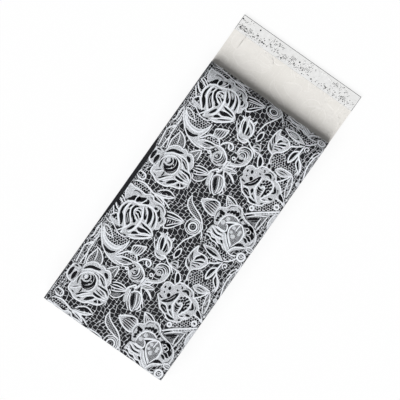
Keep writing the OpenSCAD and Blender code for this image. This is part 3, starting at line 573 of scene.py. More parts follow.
def draw_tulip(d):
    """Lens leaf, stems and tulip on their round-holed net, with the two standing leaves at the right."""
    d.patch("m", 81,177, 84.6,175.2, 87,176.6, 88.6,180, 92,181, 94.4,176.4, 97,176.4, 99,181, 97,183.4, 90,184,
        85.4,187.4, 80.6,186.6, 79,182)
    d.patch("m", 86,154.8, 92,154.6, 97.6,153.6, 98.6,154.8, 96.2,157.2, 92.8,158.6, 87.6,156.2, 83.8,155.4)
    d.patch("m", 68.8,152.8, 73,153.2, 79,154.6, 81.2,155.4, 77.6,156.2, 73.4,157.6, 70.6,156.2)
    d.patch("m", 82.6,163, 87.4,161.8, 91.4,162, 88,165, 85.6,166.6, 83.6,165.2)
    d.patch("m", 95,190.4, 97.4,188, 99.4,191, 101.6,196, 98.6,197, 94.4,194.4, 92.4,193.6)
    d.patch("w", 74,158.4, 78.3,156.9, 82.4,156.1, 86.5,156.9, 92.6,159.8, 90.6,160.8, 85.9,161.3, 80.6,161,
        76.5,159.9)
    d.slits((1.7, 77.2,159.2, 82.4,159.8, 88,159.6), (0.4, 78,158.1, 82.4,157.5, 86.4,158))
    d.cords((0.6, 73.4,158.3, 78.3,156.9, 82.4,156, 86.5,156.9, 93,160),
        (0.8, 74.4,158.6, 80.6,161.2, 86,161.6, 93,160.2), (1.0, 93.4,160.2, 96.6,158, 99.4,154.4, 100.4,152.4))
    d.coil((96.8, 162.3), 0.5, 2.5, -1.1, 110, 0.9)
    d.cord(1.1, 93.2,161.4, 89.5,164.7, 85.9,167, 84.6,168.6)
    d.patch("w", 70.1,168.2, 70.8,164.2, 72.1,161.4, 73.4,164.9, 76,165.1, 78.1,164.4, 81.4,164.9, 84.1,167.2,
        85.6,168.2, 84.1,171.5, 82.1,174.9, 78.8,177.5, 77.1,180.4, 75.4,179.5, 72.1,178.2, 70.1,174.2)
    d.slits((2.0, 75.6,171.4, 76.3,168.6, 78.6,166.6, 81.8,166.8), (1.7, 75.8,172.3, 78.8,170.6, 82.2,169.1),
        (0.9, 75,174.8, 78,173, 81.2,172.6), (0.7, 75.8,176.2, 77.6,175.7, 79.4,175.6),
        (1.0, 71,166.8, 72,170, 74.2,172.8), (0.9, 70.6,173.8, 72.6,176.2, 74.8,178.4),
        (0.6, 73.2,174.4, 74.4,176.6, 75.6,178.6), (0.6, 70.6,169.8, 72,172.4, 73.8,174.2))
    d.cords((0.8, 70,174.4, 70,168.2, 70.8,164, 72.1,161, 73.4,165, 77,164.8, 81.4,164.8, 84.2,167.2, 85.8,168.3),
        (0.9, 85.4,168.4, 84.2,171.6, 82.2,175, 78.8,177.7, 77.2,180.4), (0.9, 75,172.6, 75,169, 77.2,165.8),
        (0.8, 75.8,171.9, 79,169.4, 82.6,168), (0.8, 75.6,173.6, 79.2,171.8, 82.6,170.6),
        (0.8, 69.8,174, 72,178.2, 75.6,179.8, 77.2,180.6), (0.9, 77.4,179.8, 78,184.4, 79.4,187.6))
    d.patch("w", 92.8,166.6, 89.3,169.6, 88.6,174.2, 90.1,178.8, 92.6,174.4, 93.4,168.4)
    d.slit(2.1, 91.8,167.6, 90.1,172, 89.9,177)
    d.cords((1.0, 92.8,166.6, 89.4,169.6, 88.7,174.2, 90.1,178.8), (1.1, 93.2,167.6, 92.7,174, 90.3,178.8))
    d.patch("w", 94.6,171, 98.8,174, 101.2,178, 101.6,181.6, 99.6,179.8, 96,177, 95,174.6)
    d.slit(1.3, 95.8,172.8, 97.2,176, 100.2,178.9)
    d.cords((1.2, 93.8,161, 93.5,166, 94.2,170.2, 98.9,174.2, 101.2,178, 101.8,182.4),
        (0.8, 94.8,171.4, 95.2,175.2, 98.6,178.8, 100.2,180.4, 99.4,184))
    d.patch("w", 85.6,188.2, 88.3,185.3, 93,184.1, 97.7,183.9, 95.6,188, 91.8,190, 88.3,189.4)
    d.slits((0.7, 88.4,187.2, 91.6,186.2, 95.2,186.2), (0.6, 88.8,188.5, 91,188.3, 93.8,187.8))
    d.cords((0.8, 85.4,188.3, 88.3,185.2, 93,184, 98.6,184.1),
        (0.7, 85.6,188.5, 88.6,189.6, 91.8,190.1, 95.4,188.2, 98.6,184.4),
        (1.0, 98.6,184.4, 96.6,189, 94,192.8, 91,195.6))
    d.patch("g", 99.4,187, 102,191, 103.6,196, 103.4,201, 101,198, 99,192.4)
    d.cords((0.9, 98.8,184.4, 101.8,189.4, 103.8,195, 104.4,201), (0.7, 98.8,185, 99,191, 101,197.4, 103.8,202))
    d.slit(1.2, 97,189, 96.8,191, 97.2,193)


def draw_right_rose(d):
    """Right-hand rose: a scalloped white head round a netted heart, a grey blade petal and folded petals below."""
    d.patch("w", 67.2,200.3, 67.9,197.2, 70.5,195.6, 74.1,195.8, 75.4,192.7, 77.6,191.2, 80.7,190.8, 85.1,191,
        87.8,191.4, 89.5,192.7, 91.3,195, 93.9,195.6, 96.6,197.2, 98.4,198.9, 99.7,200.7, 102.8,202.5, 105.4,205.1,
        106.6,206.9, 102.8,206, 98.4,206, 97.9,208.2, 97,210.4, 93.9,213.1, 92.2,216.2, 89.5,217.9, 84.2,219.3,
        81.1,217.5, 78,216.6, 74.5,215.3, 72.3,212.6, 70.5,210.9, 67.4,208.2, 68.3,206, 67.2,203.4)
    d.slits((1.0, 69.4,199.6, 69.3,200.6, 69.5,201.6), (1.6, 72.1,198.2, 72.6,199.6, 73,201),
        (0.9, 70.4,203.6, 70.8,204.1, 70.9,204.8), (2.3, 73.6,203.4, 74.9,204, 76.1,203.6),
        (1.5, 74.8,203.8, 75,204.8, 75.2,206), (1.0, 68.8,207.6, 70.6,208.6, 72.6,208.3),
        (0.8, 78.9,193.6, 79.8,193.4, 80.4,194.2, 79.8,195), (0.8, 77.6,197, 78.4,197.6, 79.2,197.2),
        (1.6, 81.4,196, 84.6,194.2, 87.4,195.9), (0.5, 76.4,194, 76.8,192.8, 78,192.2),
        (0.5, 82.6,192.6, 85.2,192, 87.6,192.9), (0.6, 88.4,193.6, 89.3,194.6, 89.4,195.9),
        (2.6, 80.2,198.8, 79,203, 77.4,206.8, 73,211), (1.2, 82.3,206, 84.7,207.1, 87,206.3),
        (1.1, 82.9,208, 84.9,208.9, 87,208.1), (0.7, 84,209.8, 85.6,210.2, 87.1,209.8),
        (0.6, 84.5,211, 85.9,211.3, 87.2,211), (1.5, 92.8,198.9, 94.4,200.9, 95.3,202.5, 93.7,204.6),
        (2.7, 99,201.6, 101.4,203, 104.8,204.6), (1.6, 79.8,209.6, 80.6,211, 81.2,212.8),
        (2.8, 74.2,213.2, 77.8,213.9, 81.2,215.7), (1.5, 81.4,217, 85,217.7, 88.6,217),
        (1.1, 82.2,213.4, 83.6,214.7, 85.6,215.5), (1.4, 93.4,208.9, 95.2,208.6, 96.9,208),
        (1.1, 90.2,212.8, 91.4,212.2, 92.8,211.1), (1.1, 91,215.4, 92.2,215, 93.6,214.3),
        (0.5, 95.6,199.4, 97,200.8, 97.4,203))
    # the open net in the heart
    for x, y in pairs(83.8,200.5, 85.8,199.2, 88,198.7, 90,199.8, 91.2,202.3, 85.4,202, 87.1,200.6, 89.1,201.4,
            83.7,203.4, 87.3,202.9, 89.5,203.4, 88.6,204.8, 90.9,205.1, 88.9,206.4, 90.3,207.1, 89.1,208.2, 88.9,210):
        d.slit(1.8, (x - 0.8, y - 0.3), (x, y), (x + 0.8, y + 0.3))
    d.slit(1.0, 83.4,204.6, 84.2,205.4, 85,204.8)
    d.cords((0.3, 79.3,201.4, 78.1,205, 75.4,208.6), (0.3, 75.6,213.6, 78,214, 80.4,215.2),
        (0.9, 84,197.7, 87.8,197.2, 91.3,198.2, 92.7,201.6, 92.6,205.6, 90.6,209.6, 89.2,212.8),
        (0.9, 83,205, 84.6,205.4, 86.4,203.5, 87.6,204.9, 87.9,207.8, 88,211.8),
        (1.0, 81.3,198.6, 81.6,203, 81.4,208, 84,212, 88.6,216.4),
        (0.9, 72.4,211.4, 77.4,211.4, 81,214.4, 86.2,216.4), (0.9, 89.2,213, 92.4,212.4, 96.4,210), (0.8, 67.2,204,
        67.1,200.3, 67.9,197.1, 70.5,195.5, 74.1,195.7, 75.4,192.6, 77.6,191.1, 80.7,190.7, 85.1,190.9, 87.9,191.3,
        89.6,192.6, 91.4,195, 94,195.5, 96.7,197.1, 98.5,198.8, 99.8,200.6, 102.9,202.4, 105.5,205, 107.4,207.4),
        (0.9, 67.4,208.4, 70.5,211.1, 72.2,212.8, 74.4,215.5, 78,216.8, 81,217.7, 84.2,219.5, 89.6,218.1, 92.4,216.4,
        94.1,213.2, 97.2,210.5), (1.0, 98.2,205.6, 102.6,205.4, 106.6,207.2))


def draw_long_leaf(d):
    """Long double cord across the right side, the veined leaves under it and the ring flowers in the net."""
    d.patch("m", 89.6,219, 93.6,213, 97,208.6, 101.4,205.6, 106,207.6, 105.4,212.6, 99,216.6, 92,221.6, 87.6,222.6,
        85.4,220)
    d.cords((1.3, 85.8,122.6, 91.9,116.9, 99.1,111.4, 107.6,105), (0.5, 91,119.2, 99.6,113.2, 107,107.8))
    for k in range(9):
        x, y = 92.6 + 1.75 * k, 117.4 - 1.28 * k
        d.cord(0.45, (x - 0.4, y - 0.6), (x + 0.7, y + 1.1))
    d.slit(1.5, 87.6,122.6, 89.6,120.6, 91.4,118.2)
    d.patch("g", 88.6,124.6, 88.8,122.8, 91.9,119.9, 96.3,116.6, 101.3,113.8, 101,121, 100.4,127.1, 97.6,126,
        94.1,124.9)
    d.slits((1.5, 90,124.2, 93.6,121.4, 97.6,118.6), (0.7, 93.6,123.8, 96.4,121.4, 98.6,119.6),
        (0.7, 99.2,119, 99.4,122, 99.2,125.4))
    d.cords((0.8, 88.4,123.2, 91.9,119.9, 96.3,116.6, 101.6,113.6), (0.8, 101.5,113.6, 101.1,121, 100.3,127.8),
        (0.7, 98.2,117.6, 97.8,122, 98.6,126.4))
    d.patch("w", 104.4,112, 105.4,108.8, 107.4,108, 107.4,121.4, 105.6,120.4, 104.2,116.6)
    d.cord(0.7, 105.6,108.6, 104.3,112, 104.1,117, 106,121.6)
    d.ring((88, 115.4), 1.5, 1.3)
    d.ring((102.7, 104.2), 1.7, 1.3)
    # wedge leaf at the big flower's left
    d.patch("d", 68,118.4, 71.3,117.6, 75.2,118.4, 78,120, 74.6,122, 72.4,125, 70.2,122.6)
    d.cords((0.9, 67.4,118.2, 71.3,117.3, 75.2,118.2, 78.6,120.1), (0.8, 67.6,118.4, 70.2,122.7, 72.4,125.6))
    for end in ((77, 121), (75.4, 122.4), (73.6, 123.8)):
        d.cord(0.5, (68, 118.6), end)
    for f in (0.45, 0.62, 0.8):
        d.cord(0.35, (68 + 10 * f, 118.4 + 1.6 * f), (68 + 4.4 * f, 118.4 + 7 * f))


def draw_big_flower(d):
    """Big open flower: a frilled collar, two netted petals with light spots, and rippled petals below."""
    d.patch("d", 69,130, 72.7,125.4, 76.9,121, 83.6,121.6, 90,125.8, 98,127.6, 103.6,132.4, 104.6,139, 100,143,
        95.6,148, 91.6,152.6, 82,152, 73,149, 70,143)
    d.patch("w", 69.8,138.2, 68.3,134.9, 67.7,132.1, 68.1,129, 70.2,127.1, 72.7,125.4, 73.6,123.2, 76.9,120.5,
        80.2,119.7, 83.6,121.1, 85.8,123.6, 89.1,125.4, 93,126, 97.4,127.1, 100.8,128.8, 103.6,132.1, 104.9,136,
        104.6,139.8, 101,142, 97.4,141.6, 95.6,143.8, 94.6,140, 95,136, 93.6,132.2, 90.4,129.8, 86.8,128.8, 81,127.6,
        77.4,128.9, 75,131.8, 74,136, 73.8,140.6, 71.6,141)
    d.cord(0.6, 69.7,138.2, 68.2,134.9, 67.6,132.1, 68,128.8, 70.2,127, 72.8,125.4, 73.6,123.1, 76.9,120.3,
        80.2,119.5, 83.7,121, 86,123.6, 89.2,125.2, 93,125.8, 97.5,127, 101,128.8, 103.8,132, 105.1,136, 104.8,140,
        101,142.3)
    for width, x0, y0, x1, y1 in ((1.3, 74.9,128.8, 76.1,126.4), (1.6, 77,127.8, 78.1,124.8),
            (1.7, 79.4,127.2, 80,123.6), (2.1, 82,127.3, 82.4,123.4), (1.3, 84.4,127.9, 84.9,125),
            (1.5, 86.5,128.6, 87.2,125.8), (2.5, 70.4,132, 72.4,129.8), (1.9, 72.3,129.8, 73.8,132),
            (1.8, 73,132.6, 71.6,134.3), (1.4, 70.6,136.4, 72.8,135), (1.4, 71,138.2, 73.2,137)):
        d.slit(width, x0, y0, (x0 + x1) / 2, (y0 + y1) / 2, x1, y1)
    d.slits((2.0, 90.2,130, 92,128.8, 93.6,128.3), (3.3, 93.2,131.2, 95.4,128.8, 97.4,130.6, 96,134.4),
        (2.4, 95.2,128.6, 97.6,129.3, 98.6,131.6), (2.7, 97.2,131.6, 99.6,132.6, 102,134.8),
        (2.3, 96.2,134.4, 98.8,135.2, 101.4,136.8), (1.7, 95.8,137, 97.8,137.7, 99.8,139))
    d.cords((0.6, 93,131.4, 93.8,129.6, 95.4,129.6, 95.6,131.2, 94.6,132),
        (0.6, 96.2,129.6, 98.2,131, 97.4,133.2, 95.6,133.4), (0.5, 96.4,134.4, 99,133.9, 101.2,135.6),
        (0.5, 95.6,136.6, 98,136.4, 100.2,138))
    d.slits((0.45, 69.4,136.4, 68.9,132, 70.6,128.6), (0.45, 74,126, 75.2,122.8, 78,121.4),
        (0.45, 79.2,121.2, 82,121.7, 84.2,124.4), (0.45, 87,126, 90.4,127.2, 94,127.1),
        (0.45, 96.8,128.4, 100.4,130, 102.8,133.6), (0.45, 103.6,135.4, 103.4,138.8, 101,140.8))
    d.patch("h", 74.8,140.2, 74.8,135, 76.2,131.4, 78.8,129, 83,128.4, 86.2,129.6, 83.6,131.8, 80,134.2, 78.6,135.6,
        80.6,137, 81.2,140.2, 78,140.8)
    d.patch("h", 88.6,130.8, 91.8,132.4, 93.9,135, 94.2,140, 92,146.6, 88.6,144.4, 85,141, 83.6,137.1, 84.4,134.3,
        86.2,132)
    d.cords((1.0, 74.4,141, 74.4,134.9, 75.8,131, 78.6,128.5, 83,127.9, 86.8,129.4),
        (1.5, 78.2,135.4, 82.4,132.5, 87.6,130.2), (1.0, 79,135.8, 81.1,137, 81.9,140.6, 78,141.5, 74.4,141.1), (1.1,
        91.9,147.4, 88.4,144.9, 84.6,141.2, 83.1,137.1, 84,134, 86.2,131.6, 88.8,130.2, 92,132, 94.3,135, 94.8,140.4,
        93.4,144, 92,148), (0.9, 88.7,130.6, 88.4,133.6, 88.2,136.6))
    for x, y, r in ((78.3,132.1, 1.6), (76.6,136.4, 1.7), (85.9,135.2, 1.4), (85.8,138.9, 1.3), (88.6,141, 1.7),
            (91.4,135.2, 1.4), (91.5,137.4, 1.2)):
        d.disc("w", (x, y), r)
    d.slit(2.0, 97,141.6, 96.3,143.3, 94.9,145.6)
    d.patch("w", 71.4,142.2, 76,142, 82,141.6, 86.6,146.4, 91.8,151, 91.4,153, 87.6,152.8, 84.6,151, 81.6,151.4,
        78.6,149.6, 76,150.2, 73.2,148.6, 70.4,149.4, 70.4,146)
    d.cords((0.9, 73,141.8, 78,142.4, 81.8,141.6), (1.0, 71.6,143, 77,145.1, 82.6,144.2),
        (1.0, 71,146, 77,148, 84.4,147.2),
        (0.9, 70.6,148.6, 73.6,148, 76,149.8, 79,149.4, 82,151, 85,150.6, 88,152.6),
        (0.8, 70.4,150.8, 74,150.6, 77,152, 81,152, 84.4,153.4))
    d.slits((0.8, 74.7,142.9, 78,143.7, 81,143.1), (0.9, 72.4,144.5, 77,146.6, 82.2,145.9),
        (0.7, 71.6,147.2, 74,147, 78,148.7), (1.9, 82.4,147.9, 84.4,148.4, 85.4,149.6))
    d.cords((1.0, 83,142.1, 87,146.6, 91.9,150.4), (0.9, 84.4,141.8, 88.6,146, 92,148.8))
    d.slit(0.9, 84.4,143.3, 87.6,146.3, 91,149.2)
    d.cord(0.8, 82,144.4, 86,149, 91.4,152.6)
    d.patch("w", 93.6,147, 96,144.6, 99,143, 102.4,141.6, 99.4,145, 95.6,148.6, 92.8,152.6)
    d.cord(1.0, 91.6,153.6, 93.4,148, 97,144.8, 101,143.4)
    d.leaf((101.4, 142.2), (108.4, 141.8), 2.0, 1.8, "g", veins=(0.5,), width=0.8)
    d.disc("d", (102.6, 150), 3.8)
    d.ring((102.6, 150), 2.9, 1.5)
    d.ring((102.6, 150), 1.1, 0.6)
    d.cords((1.0, 92,152.8, 95.6,153, 98.8,151.4),
        (1.0, 105.4,152.6, 106.6,158, 104.4,165, 104.2,173.5, 105.9,179.4, 107.4,184))
    d.patch("g", 105,165, 107.6,158, 108,180, 106,177, 104.8,171)
    d.leaf((102.6, 166), (105.8, 158.6), 1.0, 1.0, "w", slits=(0.5,), width=0.6, slit=1.4)
    d.disc("w", (105.6, 187.6), 1.8)


def draw_motifs():
    """The whole drawing of one repeat. Later patches lie a hair higher than earlier ones."""
    d = Lace()
    for part in (draw_rose, draw_striped_leaf, draw_sickle, draw_left_crest, draw_draped, draw_middle_bud, draw_horn,
                 draw_snail, draw_tulip, draw_right_rose, draw_long_leaf, draw_big_flower):
        part(d)
    return d


# %% [markdown]
# The ground behind the motifs is a net of thin threads: wavy warp threads with rungs between them, set
# half a cell apart from one column to the next, like a brick wall. Slow waves bend the whole net, as it
# is drawn together round the motifs in real lace.

# %% Ground net of one repeat
NET_W, NET_COLS, NET_ROWS = 3.3, 36, 30
JITTER_U, JITTER_V = 0.62, 0.5
WARP, WEFT, KNOT_SHARE = 0.215, 0.175, 0.14


def net_threads(seed=7):
    """Straight pieces (start, end, width) and a few knots. Node (i, k) stands at 3.3 i and 106.5 k / 60, plus a
    jitter that repeats each 106.5 mm, and is then moved by slow sine waves."""
    rng = np.random.default_rng(seed)
    i, k = np.meshgrid(np.arange(-2, NET_COLS), np.arange(2 * NET_ROWS + 1), indexing="ij")
    jit = rng.uniform(-1, 1, (i.shape[0], 2 * NET_ROWS, 2))
    jit = np.concatenate([jit, jit[:, :1]], axis=1)
    u, v = i * NET_W + JITTER_U * jit[..., 0], k * TILE_V / (2 * NET_ROWS) + JITTER_V * jit[..., 1]
    f = 2 * np.pi / TILE_V
    drift_u = 0.9 * np.sin(3 * f * v + 0.05 * u) + 0.5 * np.sin(7 * f * v + 0.3 * u)
    drift_v = 1.5 * np.sin(0.11 * u + 2 * f * v) + 0.7 * np.sin(0.31 * u)
    u, v = u + drift_u, v + drift_v
    at = np.stack([u, v], axis=-1)
    warp = np.concatenate([at[:, :-1].reshape(-1, 2), at[:, 1:].reshape(-1, 2)], axis=1)
    rung = (i[:-1] + k[:-1]) % 2 == 0
    weft = np.concatenate([at[:-1][rung], at[1:][rung]], axis=1)
    both = np.vstack([warp, weft])
    width = np.r_[np.full(len(warp), WARP), np.full(len(weft), WEFT)] * rng.uniform(0.5, 1.6, len(both))
    knots = at[:, :-1][rng.uniform(size=(i.shape[0], 2 * NET_ROWS)) < KNOT_SHARE]
    return both[:, :2], both[:, 2:], width, knots


def inside(points, ring):
    """True where a point is inside a closed outline: a level ray to its right crosses the outline an odd
    number of times."""
    a, b = ring, np.roll(ring, -1, axis=0)
    y = points[:, 1, None]
    cross = (a[:, 1] > y) != (b[:, 1] > y)
    rise = np.where(b[:, 1] == a[:, 1], 1.0, b[:, 1] - a[:, 1])
    at = a[:, 0] + (y - a[:, 1]) * (b[:, 0] - a[:, 0]) / rise
    return (cross & (at > points[:, 0, None])).sum(axis=1) % 2 == 1


# %% [markdown]
# Everything in the lace is made from small four-sided faces. A thread is a low bar with a flat crown; a
# filled area is a set of close rows, like satin stitch, found by crossing its outline with level lines.
# Each corner carries u, v and its height above the paper, and only later is it laid on a panel.

# %% Faces from threads, rows and dots
def sideways(path):
    """Unit vector square to the path at each of its points: the slope turned a quarter to the left."""
    t = np.gradient(path, axis=0)
    t /= np.maximum(np.linalg.norm(t, axis=1), 1e-9)[:, None]
    return np.c_[-t[:, 1], t[:, 0]]


def bars(p, width, low, high, blunt=False):
    """Cross-section at each point of a path: low at half the width on both sides, high at a quarter. Unless
    blunt, the ends thin out to a third: 0.35 plus 0.65 times the 0.6th power of six times the way to the end."""
    n = sideways(p)
    f = np.linspace(0, 1, len(p))
    taper = 1 if blunt else 0.35 + 0.65 * np.minimum(1, np.minimum(f, 1 - f) * 6) ** 0.6
    half = np.full(len(p), width / 2) * taper
    side = np.array([-1, -0.5, 0.5, 1])
    xy = p[:, None, :] + n[:, None, :] * (side[None, :, None] * half[:, None, None])
    h = np.broadcast_to(np.array([low, high, high, low]), xy.shape[:2])
    verts = np.concatenate([xy, h[..., None]], axis=2).reshape(-1, 3)
    i = np.arange(len(p) - 1)[:, None] * 4 + np.arange(3)[None, :]
    return verts, np.stack([i, i + 1, i + 5, i + 4], axis=-1).reshape(-1, 4)


def slit_faces(p, width, h):
    """Dark sliver along a path: its half width is the square root of a sine arch, so both ends are pointed."""
    n = sideways(p)
    half = width / 2 * np.sqrt(np.sin(np.pi * np.linspace(0.01, 0.99, len(p))))[:, None]
    verts = np.c_[np.vstack([p - n * half, p + n * half]), np.full(2 * len(p), h)]
    i, m = np.arange(len(p) - 1), len(p)
    return verts, np.stack([i, i + m, i + m + 1, i + 1], axis=-1)


def rows(ring, pitch, thick, h, turn=0.0, step=1e9):
    """Rows of thread that fill an outline. The outline is turned, cut by level lines one pitch apart, and each
    pair of crossings becomes a bar of the given thickness, in pieces no longer than step; then all is turned
    back."""
    c, s = math.cos(turn), math.sin(turn)
    ring = ring @ np.array([[c, -s], [s, c]])
    a, b = ring, np.roll(ring, -1, axis=0)
    k = np.arange(math.floor(ring[:, 1].min() / pitch), math.ceil(ring[:, 1].max() / pitch) + 1)
    level = (k + 0.5) * pitch
    hit = (a[None, :, 1] > level[:, None]) != (b[None, :, 1] > level[:, None])
    row, edge = np.nonzero(hit)
    x = a[edge, 0] + (level[row] - a[edge, 1]) * (b[edge, 0] - a[edge, 0]) / (b[edge, 1] - a[edge, 1])
    order = np.lexsort((x, row))
    x, y = x[order], level[row[order]]
    x0, x1, y = x[0::2], x[1::2], y[0::2]
    parts = np.maximum(1, np.ceil((x1 - x0) / step)).astype(int)
    which = np.repeat(np.arange(len(x0)), parts)
    nth = np.arange(parts.sum()) - np.repeat(np.cumsum(parts) - parts, parts)
    dx = (x1 - x0)[which] / parts[which]
    left = x0[which] + dx * nth
    right, y = left + dx, y[which]
    low, high = y - thick / 2, y + thick / 2
    quad = np.stack([np.c_[left, low], np.c_[left, high], np.c_[right, high], np.c_[right, low]], axis=1)
    flat = quad.reshape(-1, 2) @ np.array([[c, s], [-s, c]])
    return np.c_[flat, np.full(len(flat), h)], np.arange(len(flat)).reshape(-1, 4)


def dots(centres, radius, h):
    """Eight-sided spots of the given radius, each made of three four-sided faces."""
    a = np.arange(8) * np.pi / 4 + 0.39
    ring = np.stack([np.cos(a), np.sin(a)], axis=1)
    r = np.broadcast_to(radius, len(centres))[:, None, None]
    v = (centres[:, None, :] + ring[None] * r).reshape(-1, 2)
    faces = np.array([[3, 2, 1, 0], [7, 4, 3, 0], [7, 6, 5, 4]])
    return np.c_[v, np.full(len(v), h)], (np.arange(len(centres))[:, None, None] * 8 + faces).reshape(-1, 4)


def gather(pieces):
    """One pair of arrays, corners and faces, from several pairs; each piece's faces are counted on from the last."""
    counts = np.cumsum([0] + [len(v) for v, _ in pieces[:-1]])
    return np.vstack([v for v, _ in pieces]), np.vstack([f + c for (_, f), c in zip(pieces, counts)])


# %% [markdown]
# Six tones of filling make the drawing: d is left open, n is a wide slanted grid, m is clothwork with round
# holes, g is loose hatching, h a fine grid, and w is close clothwork. Each grid is two sets of rows that
# cross, and the second set lies a little lower, so that no two faces share a plane. The heights above the
# paper go up from the net to the cords: a slit lies over clothwork, and a cord lies over both.

# %% One repeat of lace as faces
LIFT = {"net": 0.04, "fill": 0.05, "white": 0.07, "slit": 0.09, "cord": 0.15}
PATCH_STEP = 0.0001
SLIT_SPREAD = 1.35
KNOT_R = 0.48
HOLE_U, HOLE_V, HOLE_R = 1.9, 1.65, 0.84
CLOTH_PITCH, CLOTH_THREAD = 0.36, 0.24
SLANT, SQUARE = 0.5, math.pi / 2
# For each tone its sets of rows: pitch, thickness, height, turn, longest piece
ROWS = {
    "d": [],
    "n": [(1.5, 0.16, LIFT["fill"], SLANT, 2.0), (1.3, 0.16, LIFT["fill"] - 0.005, SLANT + SQUARE, 2.0)],
    "m": [(CLOTH_PITCH, 0.25, LIFT["fill"])],
    "g": [(0.5, 0.11, LIFT["fill"])],
    "h": [(0.9, 0.13, LIFT["fill"]), (0.9, 0.13, LIFT["fill"] - 0.005, SQUARE, 1.8)],
}


def net_faces(rings):
    """Knots and flat threads of the net, left out where their middle is inside a filled area."""
    a, b, w, knots = net_threads()
    mid = (a + b) / 2
    keep, bare = np.ones(len(a), bool), np.ones(len(knots), bool)
    for ring in rings:
        keep &= ~inside(mid, ring)
        bare &= ~inside(knots, ring)
    a, b, w = a[keep], b[keep], w[keep]
    n = (b - a)[:, ::-1] * np.array([-1, 1])
    n /= np.linalg.norm(n, axis=1)[:, None]
    side = np.array([-1, 1, 1, -1])[None, :, None] * (w / 2)[:, None, None]
    ends = np.stack([a, a, b, b], axis=1)
    flat = (ends + n[:, None, :] * side).reshape(-1, 2)
    threads = np.c_[flat, np.full(len(flat), LIFT["net"])], np.arange(len(flat)).reshape(-1, 4)
    return [dots(knots[bare], KNOT_R, LIFT["net"] + 0.02), threads]


def round_holes(ring):
    """Holes on a staggered grid inside an outline, each moved and sized a little by a sine of its own place."""
    lo, hi = ring.min(axis=0), ring.max(axis=0)
    gx, gy = np.meshgrid(np.arange(lo[0], hi[0], HOLE_U), np.arange(lo[1], hi[1], HOLE_V))
    gx = gx + HOLE_U / 2 * (np.round((gy - lo[1]) / HOLE_V) % 2)
    pts = np.c_[gx.ravel(), gy.ravel()]
    pts = pts + 0.16 * np.sin(pts[:, ::-1] * 5.1)
    pts = pts[inside(pts, ring)]
    return dots(pts, HOLE_R + 0.08 * np.sin(pts[:, 0] * 3.3), LIFT["fill"] + 0.012)


def lace_repeat():
    """White faces and gap faces of one repeat, in u, v and height. The drawing stands further along than the
    net, so its outlines are tried at four repeats when the net is cut away."""
    d = draw_motifs()
    white = net_faces([ring + np.array([0, TILE_V * j]) for _, ring in d.areas for j in (-1, 0, 1, -2)])
    gaps = []
    for nth, (tone, ring) in enumerate(d.areas):
        if tone == "w":
            white.append(rows(ring, CLOTH_PITCH, CLOTH_THREAD, LIFT["white"] + PATCH_STEP * nth))
        else:
            white += [rows(ring, *row) for row in ROWS[tone]]
        if tone == "m":
            gaps.append(round_holes(ring))
    for kind, path, width, blunt in d.lines:
        if kind == "slit":
            gaps.append(slit_faces(path, width * SLIT_SPREAD, LIFT["slit"]))
        else:
            white.append(bars(path, width, LIFT["white"] + 0.005, LIFT["cord"], blunt))
    return gather(white), gather(gaps)


LACE, GAPS = lace_repeat()
print("one repeat:", len(LACE[1]), "white faces,", len(GAPS[1]), "gap faces")

# %% [markdown]
# A flat drawing becomes lace on a box when each corner (u, v, height) is carried onto a panel. The
# repeats are copied side by side, what misses the panel is dropped, and corners that hang over an edge
# are drawn back to it. The panels use one shared u and v, so a cord that leaves the front goes on down
# the side.

# %% Laying lace on a panel
def make_mesh(name, verts_mm, faces, material, body=None, slot=None, smooth=True):
    """A mesh object from whole arrays of corners in millimetres and four-sided faces."""
    mesh = bpy.data.meshes.new(name)
    mesh.vertices.add(len(verts_mm))
    mesh.vertices.foreach_set("co", (np.asarray(verts_mm) * MM).astype(np.float32).ravel())
    mesh.loops.add(faces.size)
    mesh.loops.foreach_set("vertex_index", faces.astype(np.int32).ravel())
    mesh.polygons.add(len(faces))
    mesh.polygons.foreach_set("loop_start", np.arange(0, faces.size, 4, dtype=np.int32))
    mesh.update(calc_edges=True)
    mesh.polygons.foreach_set("use_smooth", np.full(len(faces), smooth))
    mesh.materials.append(material)
    obj = bpy.data.objects.new(name, mesh)
    bpy.context.scene.collection.objects.link(obj)
    if body:
        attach(obj, body)
    return obj


# The stretch of v that one repeat of the drawing takes up, roughly
DRAWN_V = (90, 210)


def lay(piece, u_range, v_range, trim=None):
    """Copies of a repeat over a window of u and v. trim(v) may give a lowest and highest u at each corner."""
    verts, faces = piece
    first = math.floor((v_range[0] - DRAWN_V[1]) / TILE_V)
    last = math.ceil((v_range[1] - DRAWN_V[0]) / TILE_V)
    out = []
    for i in range(math.floor(u_range[0] / SHEET_U) - 1, math.ceil(u_range[1] / SHEET_U) + 1):
        for j in range(first, last + 1):
            moved = verts + np.array([i * SHEET_U, j * TILE_V, 0])
            u, v = moved[:, 0], moved[:, 1]
            lo, hi = trim(v) if trim else (u_range[0], u_range[1])
            ok = (u > lo) & (u < hi) & (v > v_range[0]) & (v < v_range[1])
            use = ok[faces].any(axis=1)
            if use.any():
                moved[:, 0] = np.clip(u, lo, hi)
                moved[:, 1] = np.clip(v, *v_range)
                used, back = np.unique(faces[use], return_inverse=True)
                out.append((moved[used], back.reshape(-1, 4)))
    return gather(out)


def on_front(p):
    """u runs across, v along the top. Past the nose line, the v left over divided by the radius is an angle
    round the nose, and the corner stands at radius plus height from its axis."""
    u, v, h = p.T
    turn = np.clip((FREE - NOSE_Y - v) / NOSE_R, 0, None)
    r = NOSE_R + h
    y = np.where(turn > 0, NOSE_Y + r * np.sin(turn), FREE - v)
    z = np.where(turn > 0, NOSE_Z + r * np.cos(turn), TOP + h)
    return np.c_[u - HALF, y, z]


def on_foot(p):
    u, v, h = p.T
    return np.c_[u - HALF, FOOT - h, TOP - (v - (FREE - FOOT))]


def on_left(p):
    u, v, h = p.T
    return np.c_[-HALF - h, FREE - v, TOP + u]


def on_right(p):
    u, v, h = p.T
    return np.c_[HALF + h, FREE - v, TOP - (u - 2 * HALF)]


